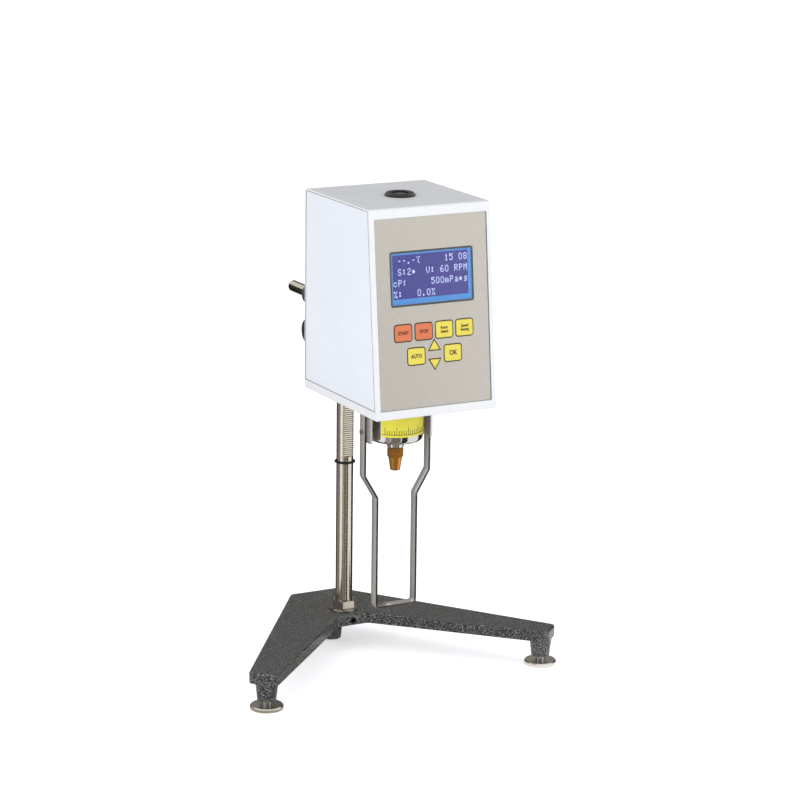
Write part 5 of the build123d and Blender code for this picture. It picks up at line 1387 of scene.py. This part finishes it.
@dataclass
class Studio:
    """Pale floor, soft light, dark cards for the metals, and the photograph's camera."""

    azimuth_deg: float = -27.89
    elevation_deg: float = 13.84
    roll_deg: float = -0.69
    distance: float = 2575.01
    shift_x: float = -47.92
    shift_y: float = -219.25
    column_y: float = 53.95
    focal_px: float = 2879.33
    photo_px: float = 800.0
    sensor: float = 36.0
    room_colour: str = "#F4F7FF"
    room_strength: float = 0.54
    floor_glow: float = 0.53
    floor_radius: float = 9.0
    aim_height: float = 0.24
    card_near: float = 0.02
    card_far: float = 0.6
    card_lift: float = 0.0008
    card_height: float = 0.45
    rear_card_height: float = 1.6

    def build_camera(self) -> None:
        """Place the camera as the photograph was taken."""
        az, el = math.radians(self.azimuth_deg), math.radians(self.elevation_deg)
        roll = math.radians(self.roll_deg)
        back = Vector((math.sin(az) * math.cos(el), -math.cos(az) * math.cos(el), math.sin(el)))
        right = Vector((math.cos(az), math.sin(az), 0.0))
        up = back.cross(right)
        spot = back * self.distance - right * self.shift_x - up * self.shift_y
        spot += Vector((0.0, self.column_y, 0.0))
        seen_right = right * math.cos(roll) - up * math.sin(roll)
        seen_up = right * math.sin(roll) + up * math.cos(roll)
        data = bpy.data.cameras.new("photo camera")
        data.sensor_fit = "HORIZONTAL"
        data.sensor_width = self.sensor
        data.lens = self.focal_px / self.photo_px * self.sensor
        data.clip_start = 0.05
        data.clip_end = 60.0
        camera = bpy.data.objects.new("photo camera", data)
        turn = Matrix((seen_right, seen_up, back)).transposed().to_4x4()
        camera.matrix_world = Matrix.Translation(spot * MM) @ turn
        bpy.context.scene.collection.objects.link(camera)
        bpy.context.scene.camera = camera

    def build_world(self) -> None:
        """Light the object evenly and show white behind it."""
        world = bpy.data.worlds.new("white room")
        world.use_nodes = True
        tree = world.node_tree
        tree.nodes.clear()
        path = add_node(tree, "ShaderNodeLightPath")
        direct = either(tree, path.outputs["Is Camera Ray"], path.outputs["Is Glossy Ray"])
        shown = either(tree, direct, path.outputs["Is Transmission Ray"])
        pale = {"Color": linear(self.room_colour), "Strength": self.room_strength}
        room = add_node(tree, "ShaderNodeBackground", pale)
        white = add_node(tree, "ShaderNodeBackground", {"Color": linear("#FFFFFF")})
        mix = add_node(
            tree,
            "ShaderNodeMixShader",
            links={0: shown, 1: room.outputs["Background"], 2: white.outputs["Background"]},
        )
        add_node(tree, "ShaderNodeOutputWorld", links={"Surface": mix.outputs["Shader"]})
        bpy.context.scene.world = world

    def build_lamp(self, name: str, spot: Vector, size: float, power: float) -> None:
        """Hang a soft square lamp that faces the middle of the object.

        Args:
            name: Name of the lamp.
            spot: Place in metres.
            size: Side of the lamp in metres.
            power: Power in watts.
        """
        data = bpy.data.lights.new(name, "AREA")
        data.size = size
        data.energy = power
        lamp = bpy.data.objects.new(name, data)
        turn = (Vector((0.0, 0.0, self.aim_height)) - spot).to_track_quat("-Z", "Y")
        lamp.matrix_world = Matrix.Translation(spot) @ turn.to_matrix().to_4x4()
        lamp.visible_glossy = False
        bpy.context.scene.collection.objects.link(lamp)

    def build_floor(self) -> None:
        """Lay a wide pale floor that shows white and keeps the object's shadow."""
        form = bmesh.new()
        bmesh.ops.create_circle(form, cap_ends=True, segments=96, radius=self.floor_radius)
        data = bpy.data.meshes.new("floor")
        form.to_mesh(data)
        form.free()
        material = blank_material("white studio paper")
        tree = material.node_tree
        paper = add_node(tree, "ShaderNodeBsdfDiffuse", {"Color": linear("#FAFAFA")})
        path = add_node(tree, "ShaderNodeLightPath")
        seen = either(tree, path.outputs["Is Camera Ray"], path.outputs["Is Glossy Ray"])
        dim = {"operation": "MULTIPLY", 1: self.floor_glow}
        share = add_node(tree, "ShaderNodeMath", dim, {0: seen})
        glow = add_node(
            tree,
            "ShaderNodeEmission",
            {"Color": linear("#FFFFFF")},
            {"Strength": share.outputs["Value"]},
        )
        both = add_node(
            tree,
            "ShaderNodeAddShader",
            links={0: paper.outputs["BSDF"], 1: glow.outputs["Emission"]},
        )
        add_node(tree, "ShaderNodeOutputMaterial", links={"Surface": both.outputs["Shader"]})
        data.materials.append(material)
        floor = bpy.data.objects.new("floor", data)
        bpy.context.scene.collection.objects.link(floor)

    def build_card(
        self, name: str, turn_deg: float, half_deg: float, colour: str, height: float
    ) -> None:
        """Stand a curved card round the column, foot on the floor, seen only in reflections.

        Args:
            name: Name of the card.
            turn_deg: Direction of its middle from the camera's side, anticlockwise seen from above.
            half_deg: Angle it reaches to each side.
            colour: Hex colour of the card.
            height: Height of the card in metres.
        """
        form = bmesh.new()
        near, far, lift = self.card_near, self.card_far, self.card_lift
        bend = [(near, lift), (far, lift), (far, height)]
        verts = [form.verts.new((0.0, -reach, rise)) for reach, rise in bend]
        edges = [form.edges.new(pair) for pair in zip(verts, verts[1:])]
        start = math.radians(self.azimuth_deg + turn_deg - half_deg)
        first = Matrix.Rotation(start, 4, "Z")
        bmesh.ops.transform(form, matrix=first, verts=verts)
        bmesh.ops.spin(
            form,
            geom=verts + edges,
            cent=(0.0, 0.0, 0.0),
            axis=(0.0, 0.0, 1.0),
            angle=math.radians(2 * half_deg),
            steps=24,
            use_merge=False,
        )
        bmesh.ops.translate(form, vec=(0.0, self.column_y * MM, 0.0), verts=form.verts)
        data = bpy.data.meshes.new(name)
        form.to_mesh(data)
        form.free()
        material = blank_material(f"{name} paper")
        tree = material.node_tree
        glow = add_node(tree, "ShaderNodeEmission", {"Color": linear(colour), "Strength": 1.0})
        add_node(tree, "ShaderNodeOutputMaterial", links={"Surface": glow.outputs["Emission"]})
        data.materials.append(material)
        card = bpy.data.objects.new(name, data)
        card.visible_camera = False
        card.visible_diffuse = False
        card.visible_shadow = False
        card.visible_transmission = False
        bpy.context.scene.collection.objects.link(card)

    def build(self) -> None:
        """Set up the whole studio."""
        self.build_camera()
        self.build_world()
        self.build_floor()
        self.build_lamp("left softbox", Vector((-2.0, -1.1, 0.9)), 1.4, 25.5)
        self.build_lamp("right softbox", Vector((1.5, -2.2, 1.1)), 1.4, 20.0)
        self.build_lamp("top softbox", Vector((0.8, -0.5, 1.7)), 0.9, 2.8)
        self.build_lamp("rear softbox", Vector((-0.4, 2.4, 0.9)), 1.4, 12.0)
        self.build_card("rear card", 176.0, 24.0, "#8C8A86", self.rear_card_height)
        self.build_card("rear left card", -140.0, 20.0, "#2B2A28", self.card_height)
        self.build_card("rear right card", 127.0, 25.0, "#2B2A28", self.card_height)
        self.build_card("left card", -92.0, 28.0, "#9C9891", self.card_height)
        self.build_card("front left card", -24.0, 10.0, "#B5B0A8", self.card_height)
        self.build_card("front card", 6.0, 18.0, "#8F877E", self.card_height)
        self.build_card("right card", 38.0, 11.0, "#3C3936", self.card_height)
        bpy.context.scene.view_settings.view_transform = "Standard"


def frame_finishes() -> dict[str, Finish]:
    """Return the finish of every CAD node that shows its own mesh."""
    groups = {
        CAST_ENAMEL: "base_casting",
        GROUND_STEEL: "column lift_pinion handle_rod drive_shaft pivot_shaft",
        PLATED_STEEL: "column_washer column_nut cover_screws guard_screws",
        SOFT_RUBBER: "stop_ring",
        OXIDE_STEEL: "column_set_screw",
        ZINC_STEEL: "left_foot_stud right_foot_stud tension_screw rod_nut",
        FOOT_STEEL: "left_foot_disc right_foot_disc",
        GREY_ENAMEL: "clamp_block",
        DARK_PLASTIC: "lift_knob handle_screw",
        WHITE_POWDER: "bottom_plate cover",
        # Side panels: the cover's white powder coat with painted cool light.
        SIDE_COOL_LIT_POWDER: "left_side_panel right_side_panel",
        PANEL_STEEL: "front_panel",
        BLACK_ABS: "display_module power_inlet switch_body rocker",
        BOARD_GREEN: "key_board main_board sensor_board",
        SATIN_ALUMINIUM: "frame_posts motor_plate drive_disc torque_disc",
        DRAWN_CAN: "motor power_supply",
        SINTERED_BRONZE: "shaft_bearings",
        STRAP_STEEL: "guard_arms",
        CUT_BRASS: "motor_pinion drive_gear",
        BLUED_SPRING: "hairspring",
        TURNED_BRASS: "spindle_connector",
    }
    return {node: finish for finish, nodes in groups.items() for node in nodes.split()}


def dress_frame(nodes: dict[str, bpy.types.Object]) -> None:
    """Give every CAD node its finish and smooth its round faces.

    The nodes without a finish of their own are replaced by pieces and don't show.

    Args:
        nodes: Name to object of the frame's nodes.
    """
    finishes = frame_finishes()
    for name, node in nodes.items():
        finish = finishes.get(name, YELLOW_KEY)
        node.data.materials.clear()
        node.data.materials.append(finish.material())
        node.data.shade_smooth()
        node.data.set_sharp_from_angle(angle=math.radians(28.0))
        LOG.info("node %s: %s", name, finish.name)


def main() -> None:
    """Load the frame, build every sub-assembly and set up the studio."""
    logging.basicConfig(level=logging.INFO, format="%(name)s: %(message)s")
    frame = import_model()
    dress_frame(frame["nodes"])
    front = SlopingFront()
    Display(front).build()
    Keypad(front).build()
    SeamAndShadowLines(front).build()
    BubbleLevel().build()
    SpindleLine().build()
    WireGuard().build()
    RearFittings().build()
    Studio().build()


if __name__ == "__main__":
    main()
